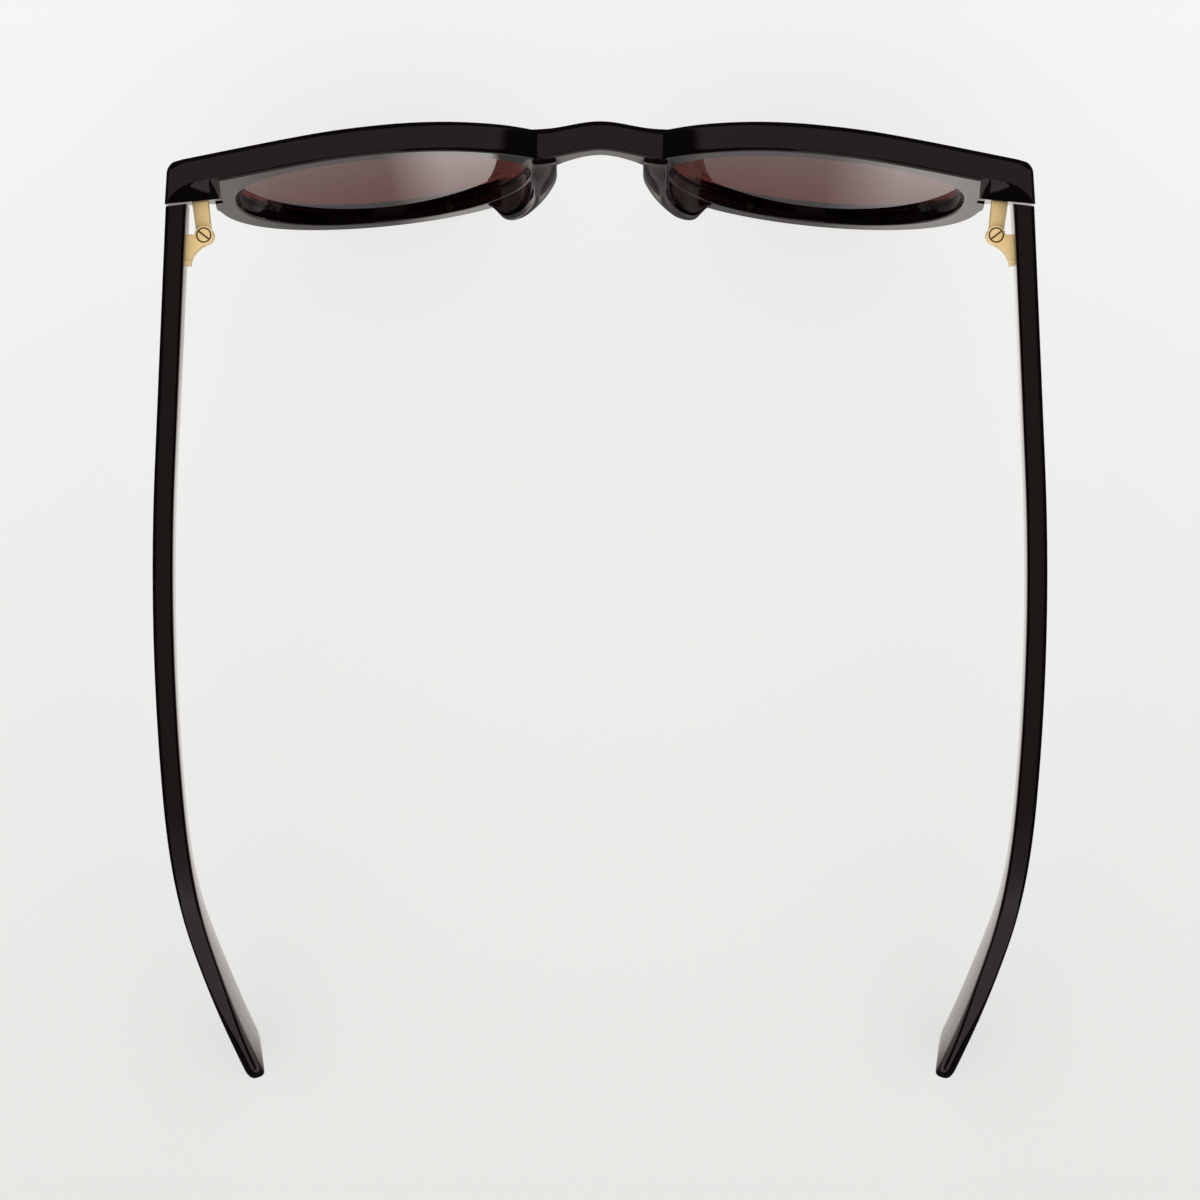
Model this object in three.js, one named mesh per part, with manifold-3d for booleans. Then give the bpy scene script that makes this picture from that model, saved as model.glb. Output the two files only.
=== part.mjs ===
import * as THREE from "three";
import { mergeVertices } from "three/addons/utils/BufferGeometryUtils.js";
import Module from "manifold-3d";

const wasm = await Module();
wasm.setup();

// Panto sunglasses with open temples, in millimetres.
// +Z is up, -Y is the front and +X is the wearer's left.
// The front is drawn flat, as (across, up, back) from the widest level of the lenses,
// and onFront() then bends it to its curve and tilts it.
// Everything is built for the left side, and the right side is its mirror image.

const degrees = Math.PI / 180;
const halfTurn = Math.PI;
const clearance = 0.3; // between pieces that meet
const overrun = 1; // how far a cut runs past what it cuts

// Lenses
const lensWidth = 48.4;
const lensRise = 14.7; // from the widest level up to the top of the lens
const lensDrop = 25.8; // from the widest level down to its bottom
const bridgeWidth = 21.8; // between the two lenses
const topTemporalPower = 2.7; // 2 is an ellipse, and more is squarer
const topNasalPower = 1.95;
const bottomPower = 2;
const lensThickness = 2;
const lensCurveRadius = 260;
const lensBevel = 0.7; // width of the bevel round the lens
const lensRingShares = [0.2, 0.6, 1];
const lensStations = 64;

// Front
const frontThickness = 5;
const frontCurveRadius = 340;
const frontTilt = 12 * degrees;
const rimWidth = 3.3;
const lensBite = 0.4; // how far a lens reaches into its rim
const edgeRound = 0.5;
const edgeSteps = 1;
const tangentStep = 0.01; // radians each way
const leastStep = 0.05; // closer points of the outline count as one
const lensSeat = 2.5; // depth of the middle of the lens edge behind the front face
const footFlat = 0.25; // depth of the flat that each rim stands on

// Bridge
const bridgeTop = 8.8;
const bridgeUnderside = 4.9;
const shoulderInset = 0.8; // corner where the bridge meets the slope of the rim, inside the lens
const shoulderUp = 8.2;
const bridgeBulge = 1.2; // how far the bridge stands forward in the middle
const bridgeThinning = 0.1;
const bridgeSteps = 8;
const archSteps = 10;
const slopeLandsAt = 122 * degrees; // place on the rim where the slope from the bridge ends
const slopeReach = 5;
const slopeSteps = 8;
const shoulderLean = 42 * degrees;

// End pieces
const endReach = 7.8; // past the widest place of the rim
const endTop = 14.4;
const endHeight = 12.4;
const endCorner = 1.1;
const browLeavesAt = 70 * degrees; // place on the rim where the brow line leaves it
const browReach = 8;
const browSteps = 12;
const cheekLeavesAt = -12 * degrees; // place where the underside of the end piece leaves it
const cheekReach = 4;
const cheekSteps = 8;
const cornerSteps = 3;
const blockFromLens = 1.7; // where the thicker hinge block starts
const blockInset = 0.1;
const blockStart = 1.5; // depth inside the plate where the block starts
const blockScoop = 2.2; // how far the scooped edge comes down at the inner end
const blockStations = 8;
const endBack = 11; // place of the rear face at its outer edge
const endSlant = 7 * degrees;

// Nose pads
const padRise = 6.5; // above the widest level
const padSweep = 46 * degrees; // how far the pad follows the rim below that level
const padOverhang = 0.9; // past the nose side of the rim
const padMargin = 0.3; // from the edge of the opening for the lens
const padDepth = 4.2;
const padLeast = 0.5;
const padStations = 14;
const padDepthShares = [0, 0.5, 0.84, 0.96, 1, 1, 0.8, 0];
const padSectionShares = [
  [0, 0], [-0.02, 0.14], [0.16, 0.34], [0.42, 0.62], [0.68, 0.86], [0.86, 1], [0.97, 0.9], [1, 0],
];

// Temples
const templeLength = 153; // along its middle line, from the joint with the front
const templeThickness = 3.3;
const tipThickness = 2.9;
const buttHeight = 11.8;
const waistHeight = 8.6;
const paddleHeight = 10.8;
const templeCentreUp = 10.1; // middle of the joint above the widest level of the lenses
const templeStep = 0.3; // how far the temple stands inside the end piece
const templeEdge = 0.5;
const splay = 2.6 * degrees;
const bowStart = 42;
const bowRadius = 400;
const earStart = 94;
const earEnd = 124;
const earCurl = 5.9 * degrees;
const earBend = 41 * degrees;
const templeSlope = 2.4 * degrees;
const taperEnd = 86;
const paddleStart = 116;
const paddleFull = 140;
const tipRound = 5;
const tipPower = 2.6;
const tipThinning = 0.5; // share of the thickness that goes at the very end
const tipThinningPower = 4;
const pathSteps = 200;
const straightStations = [0, 14, 28, 42, 54, 66, 78];
const earStations = 15;
const tipShares = [0, 0.35, 0.6, 0.78, 0.9, 0.97, 0.995];

// Core wires
const coreStart = 1;
const coreEnd = 132;
const coreHeight = 2.2;
const coreThickness = 1;
const coreStations = 26;

// Hinges
const knuckleRadius = 1.5;
const knuckleHeight = 1.2;
const knuckleGap = 0.25;
const knuckleCount = 5;
const hingeBehindButt = 4.5; // from the joint face to the screw, along the temple
const hingeOffset = 2.95; // from the inner face of the temple to the screw
const plateProud = 0.9;
const plateSink = 0.6;
const plateLength = 4.9;
const wingLength = 4.2; // of a knuckle's web, along the temple
const wingHollow = 0.5; // how far the side of the web is drawn in
const wingTurn = 234 * degrees; // how far the web follows its knuckle round
const strapWidth = 2.4;
const strapSink = 2.6; // how deep the front leaf sits in the end piece
const strapStop = 2; // from the screw to the solid part of the strap
const arcSteps = 10;

// Hinge screws
const shankRadius = 0.55;
const headRadius = 1.05;
const headThickness = 0.5;
const headRecess = 0.1;
const headClearance = 0.15;
const slotWidth = 0.35;
const slotDepth = 0.25;
const slotTurn = -35 * degrees;
const screwFacets = 20;

// Finishes
const finishes = {
  acetate: new THREE.MeshStandardMaterial({ color: 0x141011, roughness: 0.12, metalness: 0 }),
  lens: new THREE.MeshStandardMaterial({
    color: 0x5d423d, roughness: 0.04, metalness: 0, transparent: true, opacity: 0.8,
  }),
  gold: new THREE.MeshStandardMaterial({ color: 0xd9b377, roughness: 0.25, metalness: 1 }),
  wire: new THREE.MeshStandardMaterial({ color: 0xb5afa2, roughness: 0.4, metalness: 1 }),
};

// Solids and booleans

function facingOut(geometry) {
  const position = geometry.getAttribute("position");
  const index = geometry.getIndex();
  const corners = [new THREE.Vector3(), new THREE.Vector3(), new THREE.Vector3()];
  let volume = 0;
  for (let i = 0; i < index.count; i += 3) {
    corners.forEach((corner, k) => corner.fromBufferAttribute(position, index.getX(i + k)));
    volume += corners[0].dot(corners[1].cross(corners[2]));
  }
  return volume > 0;
}

function turnedOut(geometry) {
  if (!facingOut(geometry)) {
    const index = geometry.getIndex();
    for (let i = 0; i < index.count; i += 3) {
      const kept = index.getX(i);
      index.setX(i, index.getX(i + 1));
      index.setX(i + 1, kept);
    }
  }
  return geometry;
}

function welded(geometry) {
  const plain = geometry.clone();
  plain.deleteAttribute("normal");
  plain.deleteAttribute("uv");
  return turnedOut(mergeVertices(plain));
}

function toSolid(geometry) {
  const closed = welded(geometry);
  return new wasm.Manifold(new wasm.Mesh({
    numProp: 3,
    vertProperties: new Float32Array(closed.getAttribute("position").array),
    triVerts: new Uint32Array(closed.getIndex().array),
  }));
}

function toGeometry(solid) {
  const mesh = solid.getMesh();
  const geometry = new THREE.BufferGeometry();
  geometry.setAttribute("position", new THREE.BufferAttribute(new Float32Array(mesh.vertProperties), 3));
  geometry.setIndex(new THREE.BufferAttribute(new Uint32Array(mesh.triVerts), 1));
  geometry.computeVertexNormals();
  return geometry;
}

// Rings of points joined in order into one closed body, with a point in the middle of each end
function lofted(rings) {
  const count = rings[0].length;
  const positions = rings.flat().flatMap((point) => point.toArray());
  const triangles = [];
  for (let r = 0; r + 1 < rings.length; r += 1) {
    for (let i = 0; i < count; i += 1) {
      const next = (i + 1) % count;
      const a = r * count + i;
      const b = r * count + next;
      triangles.push(a, b, b + count, a, b + count, a + count);
    }
  }
  const ends = [rings[0], rings[rings.length - 1]];
  ends.forEach((ring, end) => {
    const middle = ring.reduce((sum, point) => sum.add(point), new THREE.Vector3()).divideScalar(count);
    const hub = positions.length / 3;
    const first = end * (rings.length - 1) * count;
    positions.push(...middle.toArray());
    for (let i = 0; i < count; i += 1) {
      const a = first + i;
      const b = first + (i + 1) % count;
      triangles.push(...(end ? [hub, a, b] : [hub, b, a]));
    }
  });
  return indexedGeometry(positions, triangles);
}

// A closed section carried round a closed loop
function looped(rings) {
  const count = rings[0].length;
  const triangles = [];
  for (let r = 0; r < rings.length; r += 1) {
    const after = (r + 1) % rings.length;
    for (let i = 0; i < count; i += 1) {
      const next = (i + 1) % count;
      const a = r * count + i;
      const b = r * count + next;
      triangles.push(a, b, after * count + next, a, after * count + next, after * count + i);
    }
  }
  return indexedGeometry(rings.flat().flatMap((point) => point.toArray()), triangles);
}

function indexedGeometry(positions, triangles) {
  const geometry = new THREE.BufferGeometry();
  geometry.setAttribute("position", new THREE.Float32BufferAttribute(positions, 3));
  geometry.setIndex(triangles);
  return turnedOut(geometry);
}

function box(low, high) {
  const size = new THREE.Vector3().subVectors(high, low);
  const middle = new THREE.Vector3().addVectors(low, high).multiplyScalar(0.5);
  return new THREE.BoxGeometry(size.x, size.y, size.z).translate(middle.x, middle.y, middle.z);
}

function mirrored(geometry) {
  const copy = geometry.clone();
  copy.applyMatrix4(new THREE.Matrix4().makeScale(-1, 1, 1));
  return welded(copy);
}

function smoothStep(value, from, to) {
  return THREE.MathUtils.smoothstep(value, from, to);
}

function shares(count) {
  return Array.from({ length: count + 1 }, (unused, i) => i / count);
}

// Shape of the front

const eyeCentre = (bridgeWidth + lensWidth) / 2;
const rimReach = rimWidth - lensBite; // from the lens edge to the outside of the rim
const lensOuterEdge = eyeCentre + lensWidth / 2;
const frontHalfWidth = lensOuterEdge + rimReach + endReach;
const blockInner = lensOuterEdge + blockFromLens;
const shoulderAcross = bridgeWidth / 2 - shoulderInset;

function curveDepth(across) {
  return frontCurveRadius - Math.sqrt(frontCurveRadius ** 2 - across ** 2);
}

function onFront(across, up, back) {
  const depth = back + curveDepth(across);
  return new THREE.Vector3(
    across,
    depth * Math.cos(frontTilt) - up * Math.sin(frontTilt),
    up * Math.cos(frontTilt) + depth * Math.sin(frontTilt),
  );
}

function lensPoint(angle) {
  const c = Math.cos(angle);
  const s = Math.sin(angle);
  const topPower = c > 0 ? topTemporalPower : topNasalPower;
  const power = s > 0 ? topPower : bottomPower;
  const height = s > 0 ? lensRise : lensDrop;
  return new THREE.Vector2(
    eyeCentre + (lensWidth / 2) * Math.sign(c) * Math.abs(c) ** (2 / power),
    height * Math.sign(s) * Math.abs(s) ** (2 / power),
  );
}

function lensTangent(angle) {
  return lensPoint(angle - tangentStep).sub(lensPoint(angle + tangentStep)).normalize();
}

// A point beside the lens edge: a positive offset is outside the lens
function rimPoint(angle, offset) {
  const tangent = lensTangent(angle);
  return lensPoint(angle).add(new THREE.Vector2(-tangent.y, tangent.x).multiplyScalar(offset));
}

function rimArc(from, to, offset) {
  const count = Math.ceil((Math.abs(to - from) / (2 * halfTurn)) * lensStations);
  return shares(count).map((share) => rimPoint(THREE.MathUtils.lerp(from, to, share), offset));
}

function lensLoop(offset) {
  return rimArc(0, 2 * halfTurn, offset).slice(0, -1);
}

// Depth of the middle of the lens behind the front face
function lensDepth(across, up) {
  const aside = across - eyeCentre;
  const sag = lensCurveRadius - Math.sqrt(lensCurveRadius ** 2 - aside ** 2 - up ** 2);
  const edgeSag = lensCurveRadius - Math.sqrt(lensCurveRadius ** 2 - (lensWidth / 2) ** 2);
  const wrap = Math.asin(eyeCentre / frontCurveRadius);
  const plane = curveDepth(eyeCentre) + aside * Math.tan(wrap);
  return lensSeat + sag - edgeSag + plane - curveDepth(across);
}

// Front plate

function bridgeTopLine() {
  return shares(bridgeSteps).map((share) => new THREE.Vector2(
    shoulderAcross * share,
    THREE.MathUtils.lerp(bridgeTop, shoulderUp, share ** 2),
  ));
}

function slopeLine() {
  const start = new THREE.Vector2(shoulderAcross, shoulderUp);
  const end = rimPoint(slopeLandsAt, rimReach);
  const leave = new THREE.Vector2(Math.cos(shoulderLean), Math.sin(shoulderLean));
  return new THREE.CubicBezierCurve(
    start,
    start.clone().addScaledVector(leave, slopeReach),
    end.clone().addScaledVector(lensTangent(slopeLandsAt), -slopeReach),
    end,
  ).getPoints(slopeSteps);
}

function endPieceLine() {
  const browStart = rimPoint(browLeavesAt, rimReach);
  const browEnd = new THREE.Vector2(frontHalfWidth - endCorner, endTop);
  const endBottom = endTop - endHeight;
  const cheekStart = new THREE.Vector2(frontHalfWidth - endCorner, endBottom);
  const cheekEnd = rimPoint(cheekLeavesAt, rimReach);
  const brow = new THREE.CubicBezierCurve(
    browStart,
    browStart.clone().addScaledVector(lensTangent(browLeavesAt), browReach),
    browEnd.clone().setX(browEnd.x - browReach),
    browEnd,
  ).getPoints(browSteps);
  const upperCorner = new THREE.QuadraticBezierCurve(
    browEnd,
    new THREE.Vector2(frontHalfWidth, endTop),
    new THREE.Vector2(frontHalfWidth, endTop - endCorner),
  ).getPoints(cornerSteps);
  const lowerCorner = new THREE.QuadraticBezierCurve(
    new THREE.Vector2(frontHalfWidth, endBottom + endCorner),
    new THREE.Vector2(frontHalfWidth, endBottom),
    cheekStart,
  ).getPoints(cornerSteps);
  const cheek = new THREE.CubicBezierCurve(
    cheekStart,
    cheekStart.clone().setX(cheekStart.x - cheekReach),
    cheekEnd.clone().addScaledVector(lensTangent(cheekLeavesAt), -cheekReach),
    cheekEnd,
  ).getPoints(cheekSteps);
  return [...brow, ...upperCorner, ...lowerCorner, ...cheek];
}

function noseArchLine() {
  const sideAcross = rimPoint(halfTurn, rimReach).x;
  return shares(archSteps).map((share) => new THREE.Vector2(
    sideAcross * Math.cos((share * halfTurn) / 2),
    bridgeUnderside * Math.sin((share * halfTurn) / 2),
  ));
}

function withoutRepeats(points) {
  return points.filter((point, i) => i === 0 || point.distanceTo(points[i - 1]) > leastStep);
}

function plateOutline() {
  const half = withoutRepeats([
    ...bridgeTopLine(),
    ...slopeLine(),
    ...rimArc(slopeLandsAt, browLeavesAt, rimReach),
    ...endPieceLine(),
    ...rimArc(cheekLeavesAt, -halfTurn, rimReach),
    ...noseArchLine(),
  ]);
  half[0].setX(0);
  half[half.length - 1].setX(0);
  const other = half.slice(1, -1).reverse().map((point) => new THREE.Vector2(-point.x, point.y));
  return [...half, ...other];
}

function bridgeShift(across, back) {
  const share = THREE.MathUtils.smoothstep(Math.abs(across), 0, shoulderAcross);
  return (bridgeBulge + (bridgeThinning * back) / frontThickness) * (1 - share);
}

function frontPlate() {
  const plate = new THREE.Shape(plateOutline());
  const opening = lensLoop(-lensBite);
  const otherOpening = opening.map((point) => new THREE.Vector2(-point.x, point.y)).reverse();
  plate.holes.push(new THREE.Path(opening), new THREE.Path(otherOpening));
  const geometry = new THREE.ExtrudeGeometry(plate, {
    depth: frontThickness - 2 * edgeRound,
    bevelThickness: edgeRound,
    bevelSize: edgeRound,
    bevelOffset: -edgeRound,
    bevelSegments: edgeSteps,
    steps: 1,
  }).translate(0, 0, edgeRound);
  const closed = welded(geometry);
  const position = closed.getAttribute("position");
  for (let i = 0; i < position.count; i += 1) {
    const across = position.getX(i);
    const back = position.getZ(i);
    const point = onFront(across, position.getY(i), back - bridgeShift(across, back));
    position.setXYZ(i, point.x, point.y, point.z);
  }
  return toSolid(closed);
}

// V groove that holds the edge of a lens
function lensGroove() {
  const opening = (lensThickness / 2) * ((lensBite + overrun + clearance) / lensBevel);
  const rings = shares(lensStations).slice(0, -1).map((share) => {
    const angle = 2 * halfTurn * share;
    const deep = rimPoint(angle, clearance);
    const open = rimPoint(angle, -lensBite - overrun);
    const depth = lensDepth(deep.x, deep.y);
    return [
      onFront(deep.x, deep.y, depth),
      onFront(open.x, open.y, depth + opening),
      onFront(open.x, open.y, depth - opening),
    ];
  });
  return looped(rings);
}

// Hinge block

// Forwards, square to the rear face of the end piece
const rearTurn = new THREE.Vector3(Math.sin(endSlant), -Math.cos(endSlant), 0);

function rearFaceAt(across) {
  return endBack + (across - frontHalfWidth) * Math.tan(endSlant);
}

function rearDepth(across, up) {
  const depth = (rearFaceAt(across) + up * Math.sin(frontTilt)) / Math.cos(frontTilt);
  return depth - curveDepth(across);
}

function hingeBlock() {
  const outer = frontHalfWidth - blockInset;
  const top = endTop - blockInset;
  const bottom = endTop - endHeight + blockInset;
  const rings = shares(blockStations).map((share) => {
    const across = THREE.MathUtils.lerp(blockInner, outer, share);
    const scoop = THREE.MathUtils.lerp(blockScoop, edgeRound, share);
    const scoopStart = THREE.MathUtils.lerp(frontThickness, rearDepth(across, top), share) - edgeRound;
    return [
      onFront(across, bottom, blockStart),
      onFront(across, top - edgeRound, blockStart),
      onFront(across, top, scoopStart),
      onFront(across, top - scoop, rearDepth(across, top - scoop)),
      onFront(across, bottom, rearDepth(across, bottom)),
    ];
  });
  return lofted(rings);
}

// Takes off what reaches past the rear face of the end piece, outside the rim
function jointCut() {
  const rimOutside = rimPoint(0, rimReach).x;
  return box(
    new THREE.Vector3(rimOutside - frontHalfWidth, 0, -endHeight),
    new THREE.Vector3(overrun, frontThickness, endTop + endHeight),
  ).rotateZ(endSlant).translate(frontHalfWidth, endBack, 0);
}

// Path of a temple

function templeYaw(along) {
  const bowed = Math.max(along - bowStart, 0) / bowRadius;
  return splay - bowed - earCurl * smoothStep(along, earStart, earEnd);
}

function templePitch(along) {
  return templeSlope + earBend * smoothStep(along, earStart, earEnd);
}

function makeTemplePath() {
  const across = frontHalfWidth - templeStep - templeThickness / 2;
  const forwards = new THREE.Vector3(Math.sin(splay), Math.cos(splay), 0);
  const frame = {
    point: new THREE.Vector3(across, rearFaceAt(across) + clearance / Math.cos(endSlant), templeCentreUp),
    forwards,
    up: new THREE.Vector3(0, 0, 1),
    inwards: new THREE.Vector3(-forwards.y, forwards.x, 0),
  };
  frame.forwards.applyAxisAngle(frame.inwards, templeSlope);
  frame.up.applyAxisAngle(frame.inwards, templeSlope);
  const step = templeLength / pathSteps;
  const frames = [];
  for (let i = 0; i <= pathSteps; i += 1) {
    frames.push({
      point: frame.point.clone(),
      forwards: frame.forwards.clone(),
      up: frame.up.clone(),
      inwards: frame.inwards.clone(),
    });
    const bend = templePitch((i + 1) * step) - templePitch(i * step);
    const curl = templeYaw(i * step) - templeYaw((i + 1) * step);
    frame.forwards.applyAxisAngle(frame.inwards, bend).applyAxisAngle(frame.up, curl);
    const turnedUp = frame.up.clone().applyAxisAngle(frame.inwards, bend);
    frame.inwards.applyAxisAngle(frame.up, curl);
    frame.up.copy(turnedUp);
    frame.point.addScaledVector(frame.forwards, step);
  }
  return frames;
}

const templePath = makeTemplePath();

function templeFrame(along) {
  const place = THREE.MathUtils.clamp((along / templeLength) * pathSteps, 0, pathSteps - 1);
  const low = Math.floor(place);
  const share = (along / templeLength) * pathSteps - low;
  const [a, b] = [templePath[low], templePath[low + 1]];
  return {
    point: a.point.clone().lerp(b.point, share),
    forwards: a.forwards.clone().lerp(b.forwards, share).normalize(),
    up: a.up.clone().lerp(b.up, share).normalize(),
    inwards: a.inwards.clone().lerp(b.inwards, share).normalize(),
  };
}

function templeHeight(along) {
  const taper = THREE.MathUtils.lerp(buttHeight, waistHeight, smoothStep(along, 0, taperEnd));
  return THREE.MathUtils.lerp(taper, paddleHeight, smoothStep(along, paddleStart, paddleFull));
}

function thicknessAt(along) {
  return THREE.MathUtils.lerp(templeThickness, tipThickness, smoothStep(along, earStart, paddleFull));
}

function chamferedSection(height, thickness, edge) {
  const [h, t] = [height / 2, thickness / 2];
  return [
    [-t, h - edge], [-t + edge, h], [t - edge, h], [t, h - edge],
    [t, -h + edge], [t - edge, -h], [-t + edge, -h], [-t, -h + edge],
  ];
}

function sectionAt(along, section) {
  const frame = templeFrame(along);
  return section.map(([side, rise]) => frame.point.clone()
    .addScaledVector(frame.inwards, side)
    .addScaledVector(frame.up, rise));
}

// Slides a ring along the temple onto the joint face
function ontoJointFace(ring) {
  const { point: origin, forwards } = templePath[0];
  return ring.map((point) => {
    const distance = new THREE.Vector3().subVectors(origin, point).dot(rearTurn);
    return point.clone().addScaledVector(forwards, distance / forwards.dot(rearTurn));
  });
}

function templeRing(along, squeeze = 0) {
  const shrink = (1 - squeeze ** tipPower) ** (1 / tipPower);
  const height = templeHeight(along) * shrink;
  const thickness = thicknessAt(along) * (1 - tipThinning * squeeze ** tipThinningPower);
  return sectionAt(along, chamferedSection(height, thickness, templeEdge * shrink));
}

function templeBody() {
  const tipStart = templeLength - tipRound;
  const ear = shares(earStations).map((share) => templeRing(THREE.MathUtils.lerp(earStart, tipStart, share)));
  const tip = tipShares.slice(1).map((share) => templeRing(tipStart + tipRound * share, share));
  return lofted([
    ontoJointFace(templeRing(0)),
    ...straightStations.slice(1).map((along) => templeRing(along)),
    ...ear,
    ...tip,
  ]);
}

function coreSweep(from, to, margin) {
  const section = [
    [-coreThickness / 2 - margin, coreHeight / 2 + margin],
    [coreThickness / 2 + margin, coreHeight / 2 + margin],
    [coreThickness / 2 + margin, -coreHeight / 2 - margin],
    [-coreThickness / 2 - margin, -coreHeight / 2 - margin],
  ];
  const stations = shares(coreStations).map((share) => THREE.MathUtils.lerp(from, to, share));
  return lofted(stations.map((along) => sectionAt(along, section)));
}

// Hinge: its own frame has the screw on Z, the temple on +X and the front on -Y

const stackHeight = knuckleCount * knuckleHeight + (knuckleCount - 1) * knuckleGap;
const hingeFrame = templeFrame(hingeBehindButt);
const pivot = hingeFrame.point.clone()
  .addScaledVector(hingeFrame.inwards, templeThickness / 2 + hingeOffset);
const templeLeafPlace = new THREE.Matrix4().makeRotationZ(-splay).setPosition(pivot);
const frontLeafPlace = new THREE.Matrix4().makeRotationZ(endSlant).setPosition(pivot);
const strapReach = new THREE.Vector3(frontHalfWidth, endBack, 0).sub(pivot).setZ(0).dot(rearTurn);

function knuckleFloor(level) {
  return -stackHeight / 2 + level * (knuckleHeight + knuckleGap);
}

const strapFloor = knuckleFloor(1);
const strapTop = knuckleFloor(knuckleCount - 1) - knuckleGap;

function raised(shape, level) {
  return new THREE.ExtrudeGeometry(shape, {
    depth: knuckleHeight,
    bevelEnabled: false,
    curveSegments: arcSteps,
  }).translate(0, 0, knuckleFloor(level));
}

function screwHole(radius, floor, top) {
  return toSolid(new THREE.CylinderGeometry(radius, radius, top - floor, screwFacets)
    .rotateX(halfTurn / 2)
    .translate(0, 0, (floor + top) / 2));
}

function templeLeaf() {
  const plateFace = hingeOffset - plateProud;
  const inPlate = plateFace + plateProud / 2;
  const wing = new THREE.Shape();
  wing.moveTo(inPlate, 0);
  wing.lineTo(knuckleRadius, 0);
  wing.absarc(0, 0, knuckleRadius, 0, -wingTurn, true);
  wing.quadraticCurveTo(plateFace - wingHollow, wingLength / 2, plateFace, wingLength);
  wing.lineTo(inPlate, wingLength);
  const plate = box(
    new THREE.Vector3(plateFace, 0, -stackHeight / 2),
    new THREE.Vector3(hingeOffset + plateSink, plateLength, stackHeight / 2),
  );
  let leaf = toSolid(plate);
  for (let level = 0; level < knuckleCount; level += 2) {
    leaf = leaf.add(toSolid(raised(wing, level)));
  }
  const top = stackHeight / 2;
  leaf = leaf.subtract(screwHole(shankRadius + clearance, -top - overrun, top + overrun));
  const headFloor = top - headRecess - headThickness - headClearance;
  leaf = leaf.subtract(screwHole(headRadius + headClearance, headFloor, top + overrun));
  return toGeometry(leaf);
}

function frontLeaf() {
  const strap = new THREE.Shape();
  const tangentAt = Math.acos(strapWidth / 2 / knuckleRadius);
  strap.moveTo(strapWidth / 2, -strapStop - knuckleGap);
  strap.absarc(0, 0, knuckleRadius, -tangentAt, tangentAt - halfTurn, false);
  strap.lineTo(-strapWidth / 2, -strapStop - knuckleGap);
  const web = box(
    new THREE.Vector3(-strapWidth / 2, -strapReach - strapSink, strapFloor),
    new THREE.Vector3(strapWidth / 2, -strapStop, strapTop),
  );
  let leaf = toSolid(web);
  for (let level = 1; level < knuckleCount; level += 2) {
    leaf = leaf.add(toSolid(raised(strap, level)));
  }
  const top = stackHeight / 2;
  return toGeometry(leaf.subtract(screwHole(shankRadius + clearance, -top, top)));
}

function hingeScrew() {
  const top = stackHeight / 2 - headRecess;
  const under = top - headThickness;
  const profile = [
    [0, -stackHeight / 2 + headRecess], [shankRadius, -stackHeight / 2 + headRecess],
    [shankRadius, under], [headRadius, under], [headRadius, top], [0, top],
  ].map(([radius, height]) => new THREE.Vector2(radius, height));
  const body = toSolid(new THREE.LatheGeometry(profile, screwFacets).rotateX(halfTurn / 2));
  const slot = toSolid(box(
    new THREE.Vector3(-headRadius - overrun, -slotWidth / 2, top - slotDepth),
    new THREE.Vector3(headRadius + overrun, slotWidth / 2, top + overrun),
  ).rotateZ(slotTurn));
  return toGeometry(body.subtract(slot));
}

function strapPocket() {
  const half = strapWidth / 2 + clearance;
  return box(
    new THREE.Vector3(-half, -strapReach - strapSink - clearance, strapFloor - clearance),
    new THREE.Vector3(half, -strapStop - clearance, strapTop + clearance),
  ).applyMatrix4(frontLeafPlace);
}

function platePocket() {
  const half = stackHeight / 2 + clearance;
  return box(
    new THREE.Vector3(hingeOffset - plateProud, -clearance, -half),
    new THREE.Vector3(hingeOffset + plateSink + clearance, plateLength + clearance, half),
  ).applyMatrix4(templeLeafPlace);
}

// Pieces

function makeFront() {
  const block = hingeBlock();
  const groove = lensGroove();
  const pocket = strapPocket();
  const joint = jointCut();
  const floor = onFront(eyeCentre, -lensDrop - rimReach, 0).z + footFlat;
  const ground = box(
    new THREE.Vector3(-frontHalfWidth, -frontHalfWidth, floor - rimWidth),
    new THREE.Vector3(frontHalfWidth, frontHalfWidth, floor),
  );
  let front = frontPlate().add(toSolid(block)).add(toSolid(mirrored(block)));
  for (const cut of [groove, mirrored(groove), joint, mirrored(joint), pocket, mirrored(pocket), ground]) {
    front = front.subtract(toSolid(cut));
  }
  return toGeometry(front);
}

function makeLens() {
  const half = lensThickness / 2;
  const faceRing = (share, side) => lensLoop(-lensBevel).map((edge) => {
    const across = THREE.MathUtils.lerp(eyeCentre, edge.x, share);
    const up = edge.y * share;
    return onFront(across, up, lensDepth(across, up) + side * half);
  });
  const rings = [
    ...lensRingShares.map((share) => faceRing(share, -1)),
    lensLoop(0).map((edge) => onFront(edge.x, edge.y, lensDepth(edge.x, edge.y))),
    ...[...lensRingShares].reverse().map((share) => faceRing(share, 1)),
  ];
  return lofted(rings);
}

function curveThrough(values) {
  return new THREE.SplineCurve(values.map((value, i) => new THREE.Vector2(i / (values.length - 1), value)));
}

// The pad runs straight up beside the widest level, and follows the rim below it
function makeNosePad() {
  const depths = curveThrough(padDepthShares);
  const sweepLength = padSweep * (lensDrop + rimReach);
  const riseShare = padRise / (padRise + sweepLength);
  const rings = shares(padStations).map((share) => {
    const rise = padRise * Math.max(1 - share / riseShare, 0);
    const angle = halfTurn + padSweep * Math.max((share - riseShare) / (1 - riseShare), 0);
    const outer = rimPoint(angle, rimReach + padOverhang);
    const inner = rimPoint(angle, -lensBite + padMargin);
    const depth = padLeast + (padDepth - padLeast) * depths.getPoint(share).y;
    return padSectionShares.map(([side, height]) => {
      const place = outer.clone().lerp(inner, side);
      return onFront(place.x, place.y + rise, frontThickness + clearance + depth * height);
    });
  });
  return lofted(rings);
}

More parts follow.
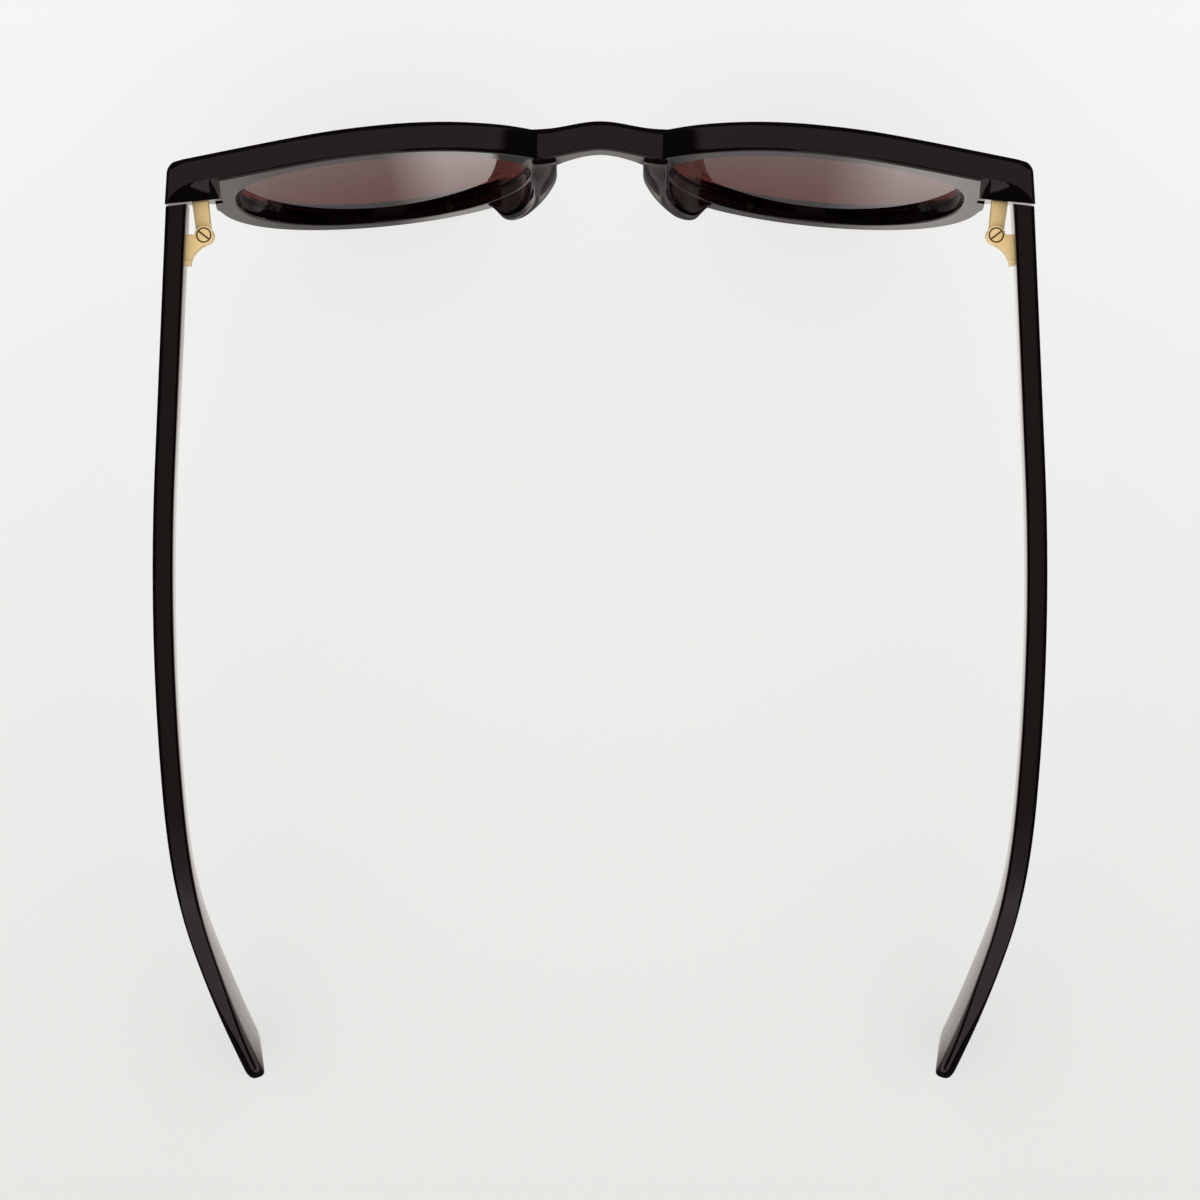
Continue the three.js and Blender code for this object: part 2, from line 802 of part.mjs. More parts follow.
function makeTemple() {
  const channel = coreSweep(-coreStart, coreEnd + clearance, clearance);
  return toGeometry(toSolid(templeBody()).subtract(toSolid(channel)).subtract(toSolid(platePocket())));
}

// The whole object

const pieces = [
  ["lens", makeLens(), finishes.lens],
  ["nose_pad", makeNosePad(), finishes.acetate],
  ["temple", makeTemple(), finishes.acetate],
  ["temple_core_wire", coreSweep(coreStart, coreEnd, 0), finishes.wire],
  ["front_hinge_leaf", frontLeaf().applyMatrix4(frontLeafPlace), finishes.gold],
  ["temple_hinge_leaf", templeLeaf().applyMatrix4(templeLeafPlace), finishes.gold],
  ["hinge_screw", hingeScrew().applyMatrix4(templeLeafPlace), finishes.gold],
];

const sunglasses = new THREE.Group();

function addPiece(name, geometry, finish) {
  const mesh = new THREE.Mesh(geometry, finish);
  mesh.name = name;
  sunglasses.add(mesh);
}

addPiece("front_frame", makeFront(), finishes.acetate);
for (const [name, geometry, finish] of pieces) {
  addPiece(`left_${name}`, geometry, finish);
  addPiece(`right_${name}`, mirrored(geometry), finish);
}

// The origin is on the ground under the middle of the object
const extent = new THREE.Box3().setFromObject(sunglasses);
sunglasses.position.set(0, -(extent.min.y + extent.max.y) / 2, -extent.min.z);

export default sunglasses;
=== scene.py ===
import math
import bmesh
import bpy
from mathutils import Matrix, Vector


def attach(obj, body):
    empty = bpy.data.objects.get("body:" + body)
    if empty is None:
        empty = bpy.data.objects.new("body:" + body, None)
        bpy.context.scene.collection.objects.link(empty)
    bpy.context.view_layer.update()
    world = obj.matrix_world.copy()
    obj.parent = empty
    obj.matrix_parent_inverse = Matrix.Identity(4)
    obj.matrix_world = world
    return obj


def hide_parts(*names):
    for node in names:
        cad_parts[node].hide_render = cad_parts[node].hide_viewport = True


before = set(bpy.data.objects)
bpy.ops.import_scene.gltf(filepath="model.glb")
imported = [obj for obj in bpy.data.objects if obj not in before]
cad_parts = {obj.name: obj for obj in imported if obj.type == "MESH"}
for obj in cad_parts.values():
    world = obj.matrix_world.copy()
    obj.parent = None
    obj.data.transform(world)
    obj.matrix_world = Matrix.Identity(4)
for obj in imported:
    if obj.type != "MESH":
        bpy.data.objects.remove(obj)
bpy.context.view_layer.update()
print("frame loaded:", len(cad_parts), "nodes")

# Shapes are drawn in millimetres. The front is drawn flat as (across, up, back) from the
# widest level of the lenses, then bent and tilted. The left half is drawn and mirrored.

drawing = {
    "millimetre": 0.001,
    "back": -75.17274,  # where the drawing's origin stands in the shared frame
    "mergeWithin": 0.000004,  # metres
    "dissolveWithin": 0.000002,
    "middleWithin": 0.0001,  # millimetres from the middle plane
    "cutterSegments": 64,
}


def mix(first, second, share):
    return first + (second - first) * share


def smoothStep(value, low, high):
    share = min(max((value - low) / (high - low), 0), 1)
    return share * share * (3 - 2 * share)


def spread(count, first=0, last=1):
    return [mix(first, last, i / count) for i in range(count + 1)]


def bezier(points, share):
    while len(points) > 1:
        points = [a.lerp(b, share) for a, b in zip(points, points[1:])]
    return points[0]


def curveThrough(values, share):
    # a smooth curve through evenly spaced values
    place = min(max(share, 0), 1) * (len(values) - 1)
    low = min(int(place), len(values) - 2)
    part = place - low
    before = values[max(low - 1, 0)]
    after = values[min(low + 2, len(values) - 1)]
    first, second = values[low], values[low + 1]
    return 0.5 * (2 * first + (second - before) * part
                  + (2 * before - 5 * first + 4 * second - after) * part ** 2
                  + (3 * first - before - 3 * second + after) * part ** 3)


# Shader maths: an expression on wires adds its Math nodes


class Wire:
    def __init__(self, board, socket):
        self.board = board
        self.socket = socket

    def join(self, operation, first, second):
        return self.board.node("ShaderNodeMath", {"operation": operation}, {0: first, 1: second})

    def __add__(self, other):
        return self.join("ADD", self, other)

    def __radd__(self, other):
        return self.join("ADD", other, self)

    def __sub__(self, other):
        return self.join("SUBTRACT", self, other)

    def __rsub__(self, other):
        return self.join("SUBTRACT", other, self)

    def __mul__(self, other):
        return self.join("MULTIPLY", self, other)

    def __rmul__(self, other):
        return self.join("MULTIPLY", other, self)

    def __abs__(self):
        return self.board.node("ShaderNodeMath", {"operation": "ABSOLUTE"}, {0: self})

    def rise(self, low, high):
        # 0 below low, 1 above high, smooth between them
        return self.board.node("ShaderNodeMapRange", {"interpolation_type": "SMOOTHSTEP"}, {
            "Value": self, "From Min": low, "From Max": high,
        })


class Board:
    def __init__(self, tree):
        self.tree = tree
        tree.nodes.clear()

    def node(self, kind, settings=None, values=None, output=0):
        made = self.tree.nodes.new(kind)
        for name, setting in (settings or {}).items():
            if name == "stops":
                for stop, (place, color) in zip(self.stopsOf(made, len(setting)), setting):
                    stop.position = place
                    stop.color = color
            else:
                setattr(made, name, setting)
        for name, value in (values or {}).items():
            if isinstance(value, Wire):
                self.tree.links.new(value.socket, made.inputs[name])
            else:
                made.inputs[name].default_value = value
        return Wire(self, made.outputs[output]) if made.outputs else made

    def stopsOf(self, ramp, count):
        while len(ramp.color_ramp.elements) < count:
            ramp.color_ramp.elements.new(0.5)
        return ramp.color_ramp.elements


def newMaterial(name):
    material = bpy.data.materials.new(name)
    material.use_nodes = True
    return material, Board(material.node_tree)


def noiseOn(board, scale, detail, stretch=(1, 1, 1)):
    place = board.node("ShaderNodeTexCoord", output="Object")
    stretched = board.node("ShaderNodeMapping", {}, {"Vector": place, "Scale": stretch})
    return board.node("ShaderNodeTexNoise", {}, {"Vector": stretched, "Scale": scale, "Detail": detail})


acetate = {
    "color": (0.0030, 0.0018, 0.0020, 1),
    "depths": (0.0014, 0.0008, 0.0010, 1),
    "sheen": (1.0, 0.95, 0.94, 1),
    "ior": 1.47,
    "cloud": {"scale": 60.0, "detail": 3.0},
    "roughness": 0.035,
    "handling": {"scale": 240.0, "detail": 4.0},
    "handlingRoughness": 0.05,
    "wave": {"scale": 130.0, "detail": 1.0},
    "waveHeight": 0.012,
    "scratch": {"scale": 900.0, "detail": 2.0, "stretch": (1, 0.08, 1)},
    "scratchHeight": 0.004,
    "bumpStrength": 0.6,
}


def acetateMaterial():
    material, board = newMaterial("black_acetate")
    cloud = noiseOn(board, **acetate["cloud"])
    handling = noiseOn(board, **acetate["handling"])
    wave = noiseOn(board, **acetate["wave"])
    scratch = noiseOn(board, **acetate["scratch"])
    tint = board.node("ShaderNodeMix", {"data_type": "RGBA"},
                      {"Factor": cloud, "A": acetate["depths"], "B": acetate["color"]}, "Result")
    roughness = acetate["roughness"] + handling * handling * acetate["handlingRoughness"]
    height = wave * acetate["waveHeight"] + scratch * acetate["scratchHeight"]
    bump = board.node("ShaderNodeBump", {}, {
        "Height": height, "Distance": drawing["millimetre"], "Strength": acetate["bumpStrength"],
    })
    surface = board.node("ShaderNodeBsdfPrincipled", {}, {
        "Base Color": tint, "Roughness": roughness, "IOR": acetate["ior"], "Specular Tint": acetate["sheen"],
        "Normal": bump,
    })
    board.node("ShaderNodeOutputMaterial", {}, {"Surface": surface})
    return material


lensTint = {
    "color": (0.096, 0.020, 0.016, 1),
    "lower": (0.122, 0.029, 0.023, 1),
    "from": 0.003,  # the fade's heights, in metres
    "to": 0.043,
    "ior": 1.5,
    "roughness": 0.015,
    "smear": {"scale": 90.0, "detail": 3.0, "stretch": (1, 1, 0.3)},
    "smearRoughness": 0.02,
}


def lensMaterial():
    material, board = newMaterial("tinted_lens")
    place = board.node("ShaderNodeTexCoord", output="Object")
    height = board.node("ShaderNodeSeparateXYZ", {}, {"Vector": place}, "Z")
    fade = board.node("ShaderNodeMapRange", {}, {
        "Value": height, "From Min": lensTint["from"], "From Max": lensTint["to"],
    })
    tint = board.node("ShaderNodeMix", {"data_type": "RGBA"},
                      {"Factor": fade, "A": lensTint["lower"], "B": lensTint["color"]}, "Result")
    smear = noiseOn(board, **lensTint["smear"])
    surface = board.node("ShaderNodeBsdfPrincipled", {}, {
        "Base Color": tint, "Roughness": lensTint["roughness"] + smear * smear * lensTint["smearRoughness"],
        "IOR": lensTint["ior"], "Transmission Weight": 1.0,
    })
    board.node("ShaderNodeOutputMaterial", {}, {"Surface": surface})
    return material


goldPlate = {
    "color": (1.0, 0.68, 0.27, 1),
    "pale": (1.0, 0.77, 0.40, 1),
    # painted shade in the crevices: its colour, how far the ambient occlusion looks, its fade and its samples
    "creviceShade": (0.09, 0.05, 0.02, 1),
    "creviceReach": 0.0006,
    "creviceFade": (0.25, 0.75),
    "creviceSamples": 8,
    "metallic": 0.15,
    "cloud": {"scale": 500.0, "detail": 2.0},
    "roughness": 0.24,
    "grain": {"scale": 1800.0, "detail": 3.0, "stretch": (1, 0.15, 1)},
    "grainRoughness": 0.16,
    "grainHeight": 0.012,
    "bumpStrength": 0.8,
}


def goldMaterial():
    material, board = newMaterial("gold_metal")
    cloud = noiseOn(board, **goldPlate["cloud"])
    grain = noiseOn(board, **goldPlate["grain"])
    tint = board.node("ShaderNodeMix", {"data_type": "RGBA"},
                      {"Factor": cloud, "A": goldPlate["color"], "B": goldPlate["pale"]}, "Result")
    # painted shade: the closest corners, around the screw head and in its slot, are darkened by ambient
    # occlusion
    clear = board.node("ShaderNodeAmbientOcclusion", {"samples": goldPlate["creviceSamples"]},
                       {"Distance": goldPlate["creviceReach"]}, "AO").rise(*goldPlate["creviceFade"])
    darkenedTone = board.node("ShaderNodeMix", {"data_type": "RGBA"},
                      {"Factor": clear, "A": goldPlate["creviceShade"], "B": tint}, "Result")
    height = grain * goldPlate["grainHeight"]
    bump = board.node("ShaderNodeBump", {}, {
        "Height": height, "Distance": drawing["millimetre"], "Strength": goldPlate["bumpStrength"],
    })
    surface = board.node("ShaderNodeBsdfPrincipled", {}, {
        "Base Color": darkenedTone, "Metallic": goldPlate["metallic"], "Normal": bump,
        "Roughness": goldPlate["roughness"] + grain * goldPlate["grainRoughness"],
    })
    board.node("ShaderNodeOutputMaterial", {}, {"Surface": surface})
    return material


drawnWire = {
    "color": (0.55, 0.52, 0.47, 1),
    "darkenedTone": (0.42, 0.40, 0.37, 1),
    "line": {"scale": 1500.0, "detail": 2.0, "stretch": (1, 0.02, 1)},
    "roughness": 0.3,
    "lineRoughness": 0.2,
}


def wireMaterial():
    material, board = newMaterial("core_metal")
    line = noiseOn(board, **drawnWire["line"])
    tint = board.node("ShaderNodeMix", {"data_type": "RGBA"},
                      {"Factor": line, "A": drawnWire["darkenedTone"], "B": drawnWire["color"]}, "Result")
    surface = board.node("ShaderNodeBsdfPrincipled", {}, {
        "Base Color": tint, "Metallic": 1.0,
        "Roughness": drawnWire["roughness"] + line * drawnWire["lineRoughness"],
    })
    board.node("ShaderNodeOutputMaterial", {}, {"Surface": surface})
    return material


materials = {
    "black_acetate": acetateMaterial(),
    "tinted_lens": lensMaterial(),
    "gold_metal": goldMaterial(),
    "core_metal": wireMaterial(),
}
print("materials made:", len(materials))


# Mesh pieces


def shadeEdges(mesh, sharpAngle):
    mesh.shade_smooth()
    mesh.set_sharp_from_angle(angle=math.radians(sharpAngle))


def addPiece(name, points, faces, slot, body, node, sharpAngle):
    mesh = bpy.data.meshes.new(name)
    mesh.from_pydata([toShared(point) for point in points], [], faces)
    work = bmesh.new()
    work.from_mesh(mesh)
    bmesh.ops.remove_doubles(work, verts=work.verts, dist=drawing["mergeWithin"])
    bmesh.ops.dissolve_degenerate(work, edges=work.edges, dist=drawing["dissolveWithin"])
    bmesh.ops.recalc_face_normals(work, faces=work.faces)
    work.to_mesh(mesh)
    work.free()
    shadeEdges(mesh, sharpAngle)
    piece = bpy.data.objects.new(name, mesh)
    bpy.context.scene.collection.objects.link(piece)
    mesh.materials.append(materials[slot])
    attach(piece, body)
    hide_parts(node)
    return piece


def gridFaces(rows, columns, closeRows=False):
    faces = []
    for r in range(rows if closeRows else rows - 1):
        for c in range(columns):
            nextRow, nextColumn = (r + 1) % rows, (c + 1) % columns
            faces.append((r * columns + c, r * columns + nextColumn,
                          nextRow * columns + nextColumn, nextRow * columns + c))
    return faces


def mirrorPoints(points):
    return [Vector((-point[0], point[1], point[2])) for point in points]


def addPair(name, points, faces, slot, bodies, node, sharpAngle):
    flipped = [tuple(reversed(face)) for face in faces]
    addPiece("left_" + name, points, faces, slot, bodies[0], "left_" + node, sharpAngle)
    addPiece("right_" + name, mirrorPoints(points), flipped, slot, bodies[1], "right_" + node, sharpAngle)


# Front

eye = {
    "width": 48.4,
    "rise": 14.7,
    "drop": 25.8,
    "bridge": 21.8,
    "topTemporalPower": 2.7,
    "topNasalPower": 1.95,
    "bottomPower": 2,
    "rimReach": 2.9,
    "bite": 0.4,
    "tangentStep": 0.01,
}
eye["centre"] = (eye["bridge"] + eye["width"]) / 2

plate = {
    "thickness": 5,
    "curveRadius": 340,
    "tilt": math.radians(12),
    "edgeRound": 0.8,
    "rearRound": 0.55,
    "endRound": 1.6,
    "endRoundReach": 3,
    "sideLean": 0.55,  # how far the end's side leans in at its front edge
    "sideLeanReach": 6,
    "jointRound": 0.1,
    "openingRound": 0.3,
    "roundSteps": 5,
    "faceShares": [0.03, 0.15, 0.3, 0.5, 0.7, 0.85, 0.97],
    "wallShares": [0.08, 0.5, 0.92],
    "scoopShares": [0, 0.06, 0.5, 0.94, 1],
    "blockShares": [0.06, 0.3, 0.7, 0.94, 1],
    "stepShares": [0.03, 0.5, 0.97, 1],
    "rearShares": [0.05, 0.3, 0.6, 0.9, 0.97],
    "stepMost": 0.9999,  # keeps the block's step off the outline
    "footFlat": 0.25,
    "sharpAngle": 24,
    "closestPoints": 0.02,
}

bridge = {
    "top": 8.8,
    "underside": 4.9,
    "shoulderAcross": 10.1,
    "shoulderUp": 8.2,
    "bulge": 1.2,
    "thinning": 0.1,
    "middleMargin": 0.1,
    "slopeLandsAt": math.radians(122),
    "slopeReach": 5,
    "shoulderLean": math.radians(42),
}

endPiece = {
    "halfWidth": 70,
    "top": 14.4,
    "height": 12.4,
    "corner": 1.1,
    "browLeavesAt": math.radians(70),
    "browReach": 8,
    "cheekLeavesAt": math.radians(-12),
    "cheekReach": 4,
    "blockInner": 61,
    "blockFloorShare": 0.34,  # along the cheek line, where the block's floor leaves it
    "scoopDrop": 4.5,
    "scoopLength": 3.1,
    "scoopLeast": 0.12,
    "scoopPower": 4,
    "rearAt": 11,
    "slant": math.radians(7),
    "jointCut": 1,  # how far past the rear face the cut for the temple starts
}


def curveDepth(across):
    return plate["curveRadius"] - math.sqrt(plate["curveRadius"] ** 2 - across ** 2)


def onFront(across, up, back):
    depth = back + curveDepth(across)
    c, s = math.cos(plate["tilt"]), math.sin(plate["tilt"])
    return Vector((across, depth * c - up * s, up * c + depth * s))


# The rims stand on the floor on a small flat
ground = onFront(eye["centre"], -eye["drop"] - eye["rimReach"], 0).z + plate["footFlat"]


def toShared(point):
    return Vector((point[0], point[1] + drawing["back"], point[2] - ground)) * drawing["millimetre"]


def bridgeShift(across, back):
    share = smoothStep(abs(across), 0, bridge["shoulderAcross"])
    return (bridge["bulge"] + bridge["thinning"] * back / plate["thickness"]) * (1 - share)


def sideLean(across, back):
    side = endPiece["halfWidth"]
    ahead = max(1 - back / endPiece["rearAt"], 0)
    return plate["sideLean"] * ahead * smoothStep(across, side - plate["sideLeanReach"], side)


def onPlate(place, back):
    return onFront(place.x - sideLean(place.x, back), place.y, back - bridgeShift(place.x, back))


def signedPower(value, power):
    return math.copysign(abs(value) ** power, value)


def lensPoint(angle):
    c, s = math.cos(angle), math.sin(angle)
    topPower = eye["topTemporalPower"] if c > 0 else eye["topNasalPower"]
    power = topPower if s > 0 else eye["bottomPower"]
    height = eye["rise"] if s > 0 else eye["drop"]
    across = eye["centre"] + eye["width"] / 2 * signedPower(c, 2 / power)
    return Vector((across, height * signedPower(s, 2 / power)))


def lensTangent(angle):
    step = eye["tangentStep"]
    return (lensPoint(angle - step) - lensPoint(angle + step)).normalized()


def rimPoint(angle, offset):
    tangent = lensTangent(angle)
    return lensPoint(angle) + Vector((-tangent.y, tangent.x)) * offset


def bridgeTopPoint(share):
    return Vector((bridge["shoulderAcross"] * share, mix(bridge["top"], bridge["shoulderUp"], share ** 2)))


def slopePoint(share):
    start = bridgeTopPoint(1)
    end = rimPoint(bridge["slopeLandsAt"], eye["rimReach"])
    lean = Vector((math.cos(bridge["shoulderLean"]), math.sin(bridge["shoulderLean"])))
    leave = start + lean * bridge["slopeReach"]
    land = end - lensTangent(bridge["slopeLandsAt"]) * bridge["slopeReach"]
    return bezier([start, leave, land, end], share)


def rimArc(first, last):
    return lambda share: rimPoint(mix(first, last, share), eye["rimReach"])


def browPoint(share):
    start = rimPoint(endPiece["browLeavesAt"], eye["rimReach"])
    end = Vector((endPiece["halfWidth"] - endPiece["corner"], endPiece["top"]))
    leave = start + lensTangent(endPiece["browLeavesAt"]) * endPiece["browReach"]
    land = end - Vector((endPiece["browReach"], 0))
    return bezier([start, leave, land, end], share)


def endCorner(share, level, first):
    side, inset = endPiece["halfWidth"], endPiece["corner"]
    way = -1 if first else 1
    flat = Vector((side - inset, level))
    upright = Vector((side, level + way * inset))
    points = [flat, Vector((side, level)), upright]
    return bezier(points if first else points[::-1], share)


endBottom = endPiece["top"] - endPiece["height"]


def sidePoint(share):
    inset = endPiece["corner"]
    return Vector((endPiece["halfWidth"], mix(endPiece["top"] - inset, endBottom + inset, share)))


def cheekPoint(share):
    start = Vector((endPiece["halfWidth"] - endPiece["corner"], endBottom))
    end = rimPoint(endPiece["cheekLeavesAt"], eye["rimReach"])
    leave = start - Vector((endPiece["cheekReach"], 0))
    land = end - lensTangent(endPiece["cheekLeavesAt"]) * endPiece["cheekReach"]
    return bezier([start, leave, land, end], share)


def archPoint(share):
    across = rimPoint(-math.pi, eye["rimReach"]).x
    angle = share * math.pi / 2
    return Vector((across * math.cos(angle), bridge["underside"] * math.sin(angle)))


def middlePoint(share):
    margin = plate["edgeRound"] + bridge["middleMargin"]
    return Vector((0, mix(bridge["underside"] + margin, bridge["top"] - margin, share)))


def findShare(test, low=0.0, high=1.0):
    # where the test turns from true to false
    for _ in range(40):
        middle = (low + high) / 2
        low, high = (middle, high) if test(middle) else (low, middle)
    return (low + high) / 2


def rearDepth(across, up):
    rearFace = endPiece["rearAt"] + (across - endPiece["halfWidth"]) * math.tan(endPiece["slant"])
    return (rearFace + up * math.sin(plate["tilt"])) / math.cos(plate["tilt"]) - curveDepth(across)


def scoopAt(across):
    width = endPiece["halfWidth"] - endPiece["blockInner"]
    share = min(max((across - endPiece["blockInner"]) / width, 0), 1)
    fade = 1 - share ** endPiece["scoopPower"]
    least = endPiece["scoopLeast"]
    return max(endPiece["scoopDrop"] * (1 - share), least), max(endPiece["scoopLength"] * fade, least)


def blockBack(place):
    drop, length = scoopAt(place.x)
    above = place.y - (endPiece["top"] - drop)
    return rearDepth(place.x, place.y) - max(above, 0) / drop * length


# Each station runs from the opening for the lens out to the outline of the front.
# A stretch of them: angle on the lens from and to, outline, steps, hinge block behind
browSplit = findShare(lambda share: browPoint(share).x < endPiece["blockInner"])
floorLevel = cheekPoint(endPiece["blockFloorShare"]).y
floorAngle = findShare(lambda angle: rimPoint(angle, -eye["bite"]).y < floorLevel, 0.0, 0.5)
slopeAngle = bridge["slopeLandsAt"]
browAngle = endPiece["browLeavesAt"]
cheekAngle = endPiece["cheekLeavesAt"]
degree = math.radians(1)
stretches = [
    (-210 * degree, -220 * degree, bridgeTopPoint, 26, False),
    (-220 * degree, slopeAngle - 2 * math.pi, slopePoint, 26, False),
    (slopeAngle, browAngle, rimArc(slopeAngle, browAngle), 54, False),
    (browAngle, 38 * degree, lambda share: browPoint(share * browSplit), 34, False),
    (38 * degree, 26 * degree, lambda share: browPoint(mix(browSplit, 1, share)), 30, True),
    (26 * degree, 24 * degree, lambda share: endCorner(share, endPiece["top"], True), 8, True),
    (24 * degree, 9 * degree, sidePoint, 20, True),
    (9 * degree, 7.5 * degree, lambda share: endCorner(share, endBottom, False), 8, True),
    (7.5 * degree, floorAngle, lambda share: cheekPoint(share * endPiece["blockFloorShare"]), 12, True),
    (floorAngle, cheekAngle, lambda share: cheekPoint(mix(endPiece["blockFloorShare"], 1, share)), 22, False),
    (cheekAngle, -math.pi, rimArc(cheekAngle, -math.pi), 150, False),
    (-math.pi, -200 * degree, archPoint, 36, False),
    (-200 * degree, -210 * degree, middlePoint, 10, False),
]


def makeStations():
    stations = []
    for first, last, outline, steps, block in stretches:
        for share in spread(steps):
            stations.append({
                "angle": mix(first, last, share), "edge": outline(share), "block": block,
                "middle": outline is middlePoint,
            })
    return stations


def addInwards(stations):
    # the way into the material at each outline point, mitred at corners
    line = [s for s in stations if not s["middle"]]
    unique = [line[0]]
    for station in line[1:]:
        if (station["edge"] - unique[-1]["edge"]).length > plate["closestPoints"]:
            unique.append(station)
    for i, station in enumerate(unique):
        before = unique[i - 1]["edge"] if i else Vector((-unique[1]["edge"].x, unique[1]["edge"].y))
        if i + 1 < len(unique):
            after = unique[i + 1]["edge"]
        else:
            after = Vector((-unique[i - 1]["edge"].x, unique[i - 1]["edge"].y))
        ways = []
        for way in (station["edge"] - before, after - station["edge"]):
            way.normalize()
            ways.append(Vector((way.y, -way.x)))
        station["inwards"] = (ways[0] + ways[1]) / (1 + ways[0].dot(ways[1]))
    known = unique[0]
    for station in line:
        if "inwards" in station:
            known = station
        station["inwards"] = known["inwards"]


def frontSection(station):
    angle, edge, block = station["angle"], station["edge"], station["block"]
    thickness = plate["thickness"]
    quarter = [math.pi / 2 * share for share in spread(plate["roundSteps"])]
    openingRound = plate["openingRound"]
    opening = rimPoint(angle, -eye["bite"])
    start = rimPoint(angle, -eye["bite"] + openingRound)
    if station["middle"]:
        inwards, frontRound, rearRound = Vector((0, 0)), 0, 0
    else:
        inwards = station["inwards"]
        side = endPiece["halfWidth"]
        endness = smoothStep(edge.x, side - plate["endRoundReach"], side)
        frontRound = mix(plate["edgeRound"], plate["endRound"], endness)
        rearRound = plate["jointRound"] if block else plate["rearRound"]
    backOf = blockBack if block else (lambda place: thickness)
    frontEnd = edge + inwards * frontRound
    rearEnd = edge + inwards * rearRound
    points = []
    # opening wall and its front edge
    points += [onPlate(opening, mix(openingRound, thickness - openingRound, share)) for share in (1, 0.5)]
    for turned in quarter:
        place = opening.lerp(start, 1 - math.cos(turned))
        points.append(onPlate(place, openingRound * (1 - math.sin(turned))))
    # front face and outer wall
    points += [onPlate(start.lerp(frontEnd, share), 0) for share in plate["faceShares"]]
    for turned in quarter:
        place = edge + inwards * frontRound * (1 - math.sin(turned))
        points.append(onPlate(place, frontRound * (1 - math.cos(turned))))
    wallEnd = backOf(edge) - rearRound
    points += [onPlate(edge, mix(frontRound, wallEnd, share)) for share in plate["wallShares"]]
    for turned in quarter:
        place = edge + inwards * rearRound * (1 - math.cos(turned))
        points.append(onPlate(place, backOf(place) - rearRound * (1 - math.sin(turned))))
    # rear face: scoop, hinge block, step down to the rim
    stepAt, creaseAt = 0.5, 1.0
    if block or station.get("floor"):
        run = rearEnd.x - start.x
        stepAt = min(max((endPiece["blockInner"] - start.x) / run, 0), plate["stepMost"])
    if block:
        creaseAt = findShare(lambda share: scoopLevel(start.lerp(rearEnd, share)) < 0, stepAt, 1.0)
    for share in plate["scoopShares"]:
        place = rearEnd.lerp(start, (1 - creaseAt) * share)
        points.append(onPlate(place, backOf(place)))
    for share in plate["blockShares"]:
        place = rearEnd.lerp(start, mix(1 - creaseAt, 1 - stepAt, share))
        points.append(onPlate(place, backOf(place)))
    step = start.lerp(rearEnd, stepAt)
    points += [onPlate(step, mix(backOf(step), thickness, share)) for share in plate["stepShares"]]
    points += [onPlate(step.lerp(start, share), thickness) for share in plate["rearShares"]]
    for turned in quarter[:-1]:
        place = opening.lerp(start, 1 - math.sin(turned))
        points.append(onPlate(place, thickness - openingRound * (1 - math.cos(turned))))
    return points


def scoopLevel(place):
    return place.y - (endPiece["top"] - scoopAt(place.x)[0])


def buildFront():
    stations = makeStations()
    addInwards(stations)
    for before, station in zip(stations, stations[1:]):
        if before["block"] and not station["block"]:
            station["floor"] = True
    rows = [frontSection(station) for station in stations]
    columns = len(rows[0])
    half = [point for row in rows for point in row]
    faces = [face for face in gridFaces(len(rows), columns, closeRows=True)
             if max(abs(half[corner].x) for corner in face) > drawing["middleWithin"]]
    count = len(half)
    points = half + mirrorPoints(half)
    faces += [tuple(count + corner for corner in reversed(face)) for face in faces]
    for point in points:
        point.z = max(point.z, ground)
    return addPiece("frame_front", points, faces, "black_acetate", "front", "front_frame",
                    plate["sharpAngle"])


def cutAway(piece, place, sharpAngle, drilled=False):
    # takes a unit cube, or a unit cylinder where drilled, set down by the matrix, out of the piece
    mesh = bpy.data.meshes.new("cutter")
    work = bmesh.new()
    if drilled:
        bmesh.ops.create_cone(work, cap_ends=True, segments=drawing["cutterSegments"],
                              radius1=0.5, radius2=0.5, depth=1)
    else:
        bmesh.ops.create_cube(work, size=1)
    work.to_mesh(mesh)
    work.free()
    cutter = bpy.data.objects.new("cutter", mesh)
    bpy.context.scene.collection.objects.link(cutter)
    cutter.matrix_world = place
    cut = piece.modifiers.new("cut", "BOOLEAN")
    cut.operation, cut.solver, cut.object = "DIFFERENCE", "EXACT", cutter
    cut.use_self = drilled
    bpy.context.view_layer.update()
    made = bpy.data.meshes.new_from_object(piece.evaluated_get(bpy.context.evaluated_depsgraph_get()))
    piece.modifiers.clear()
    piece.data = made
    shadeEdges(made, sharpAngle)
    bpy.data.objects.remove(cutter)


def cutJoints(piece):
    # nothing outside the rim reaches past the rear face of the end piece
    inner = rimPoint(0, eye["rimReach"]).x - endPiece["halfWidth"]
    size = Vector((endPiece["jointCut"] - inner, plate["thickness"],
                   endPiece["top"] + 2 * endPiece["height"]))
    centre = Vector((inner, 0, -endPiece["height"])) + size / 2
    for sign in (1, -1):
        corner = toShared(Vector((sign * endPiece["halfWidth"], endPiece["rearAt"], 0)))
        middle = Vector((sign * centre.x, centre.y, centre.z)) * drawing["millimetre"]
        cutAway(piece, Matrix.Translation(corner) @ Matrix.Rotation(sign * endPiece["slant"], 4, "Z")
                @ Matrix.Translation(middle) @ Matrix.Diagonal((*size * drawing["millimetre"], 1)),
                plate["sharpAngle"])


frontPiece = buildFront()
cutJoints(frontPiece)
print("front made:", len(frontPiece.data.polygons), "faces")

# Lenses

lensShape = {
    "thickness": 2,
    "curveRadius": 260,
    "seat": 2.5,
    "bevel": 0.5,
    "stations": 192,
    "rings": 22,
    "edgeRings": 5,
    "sharpAngle": 40,
}


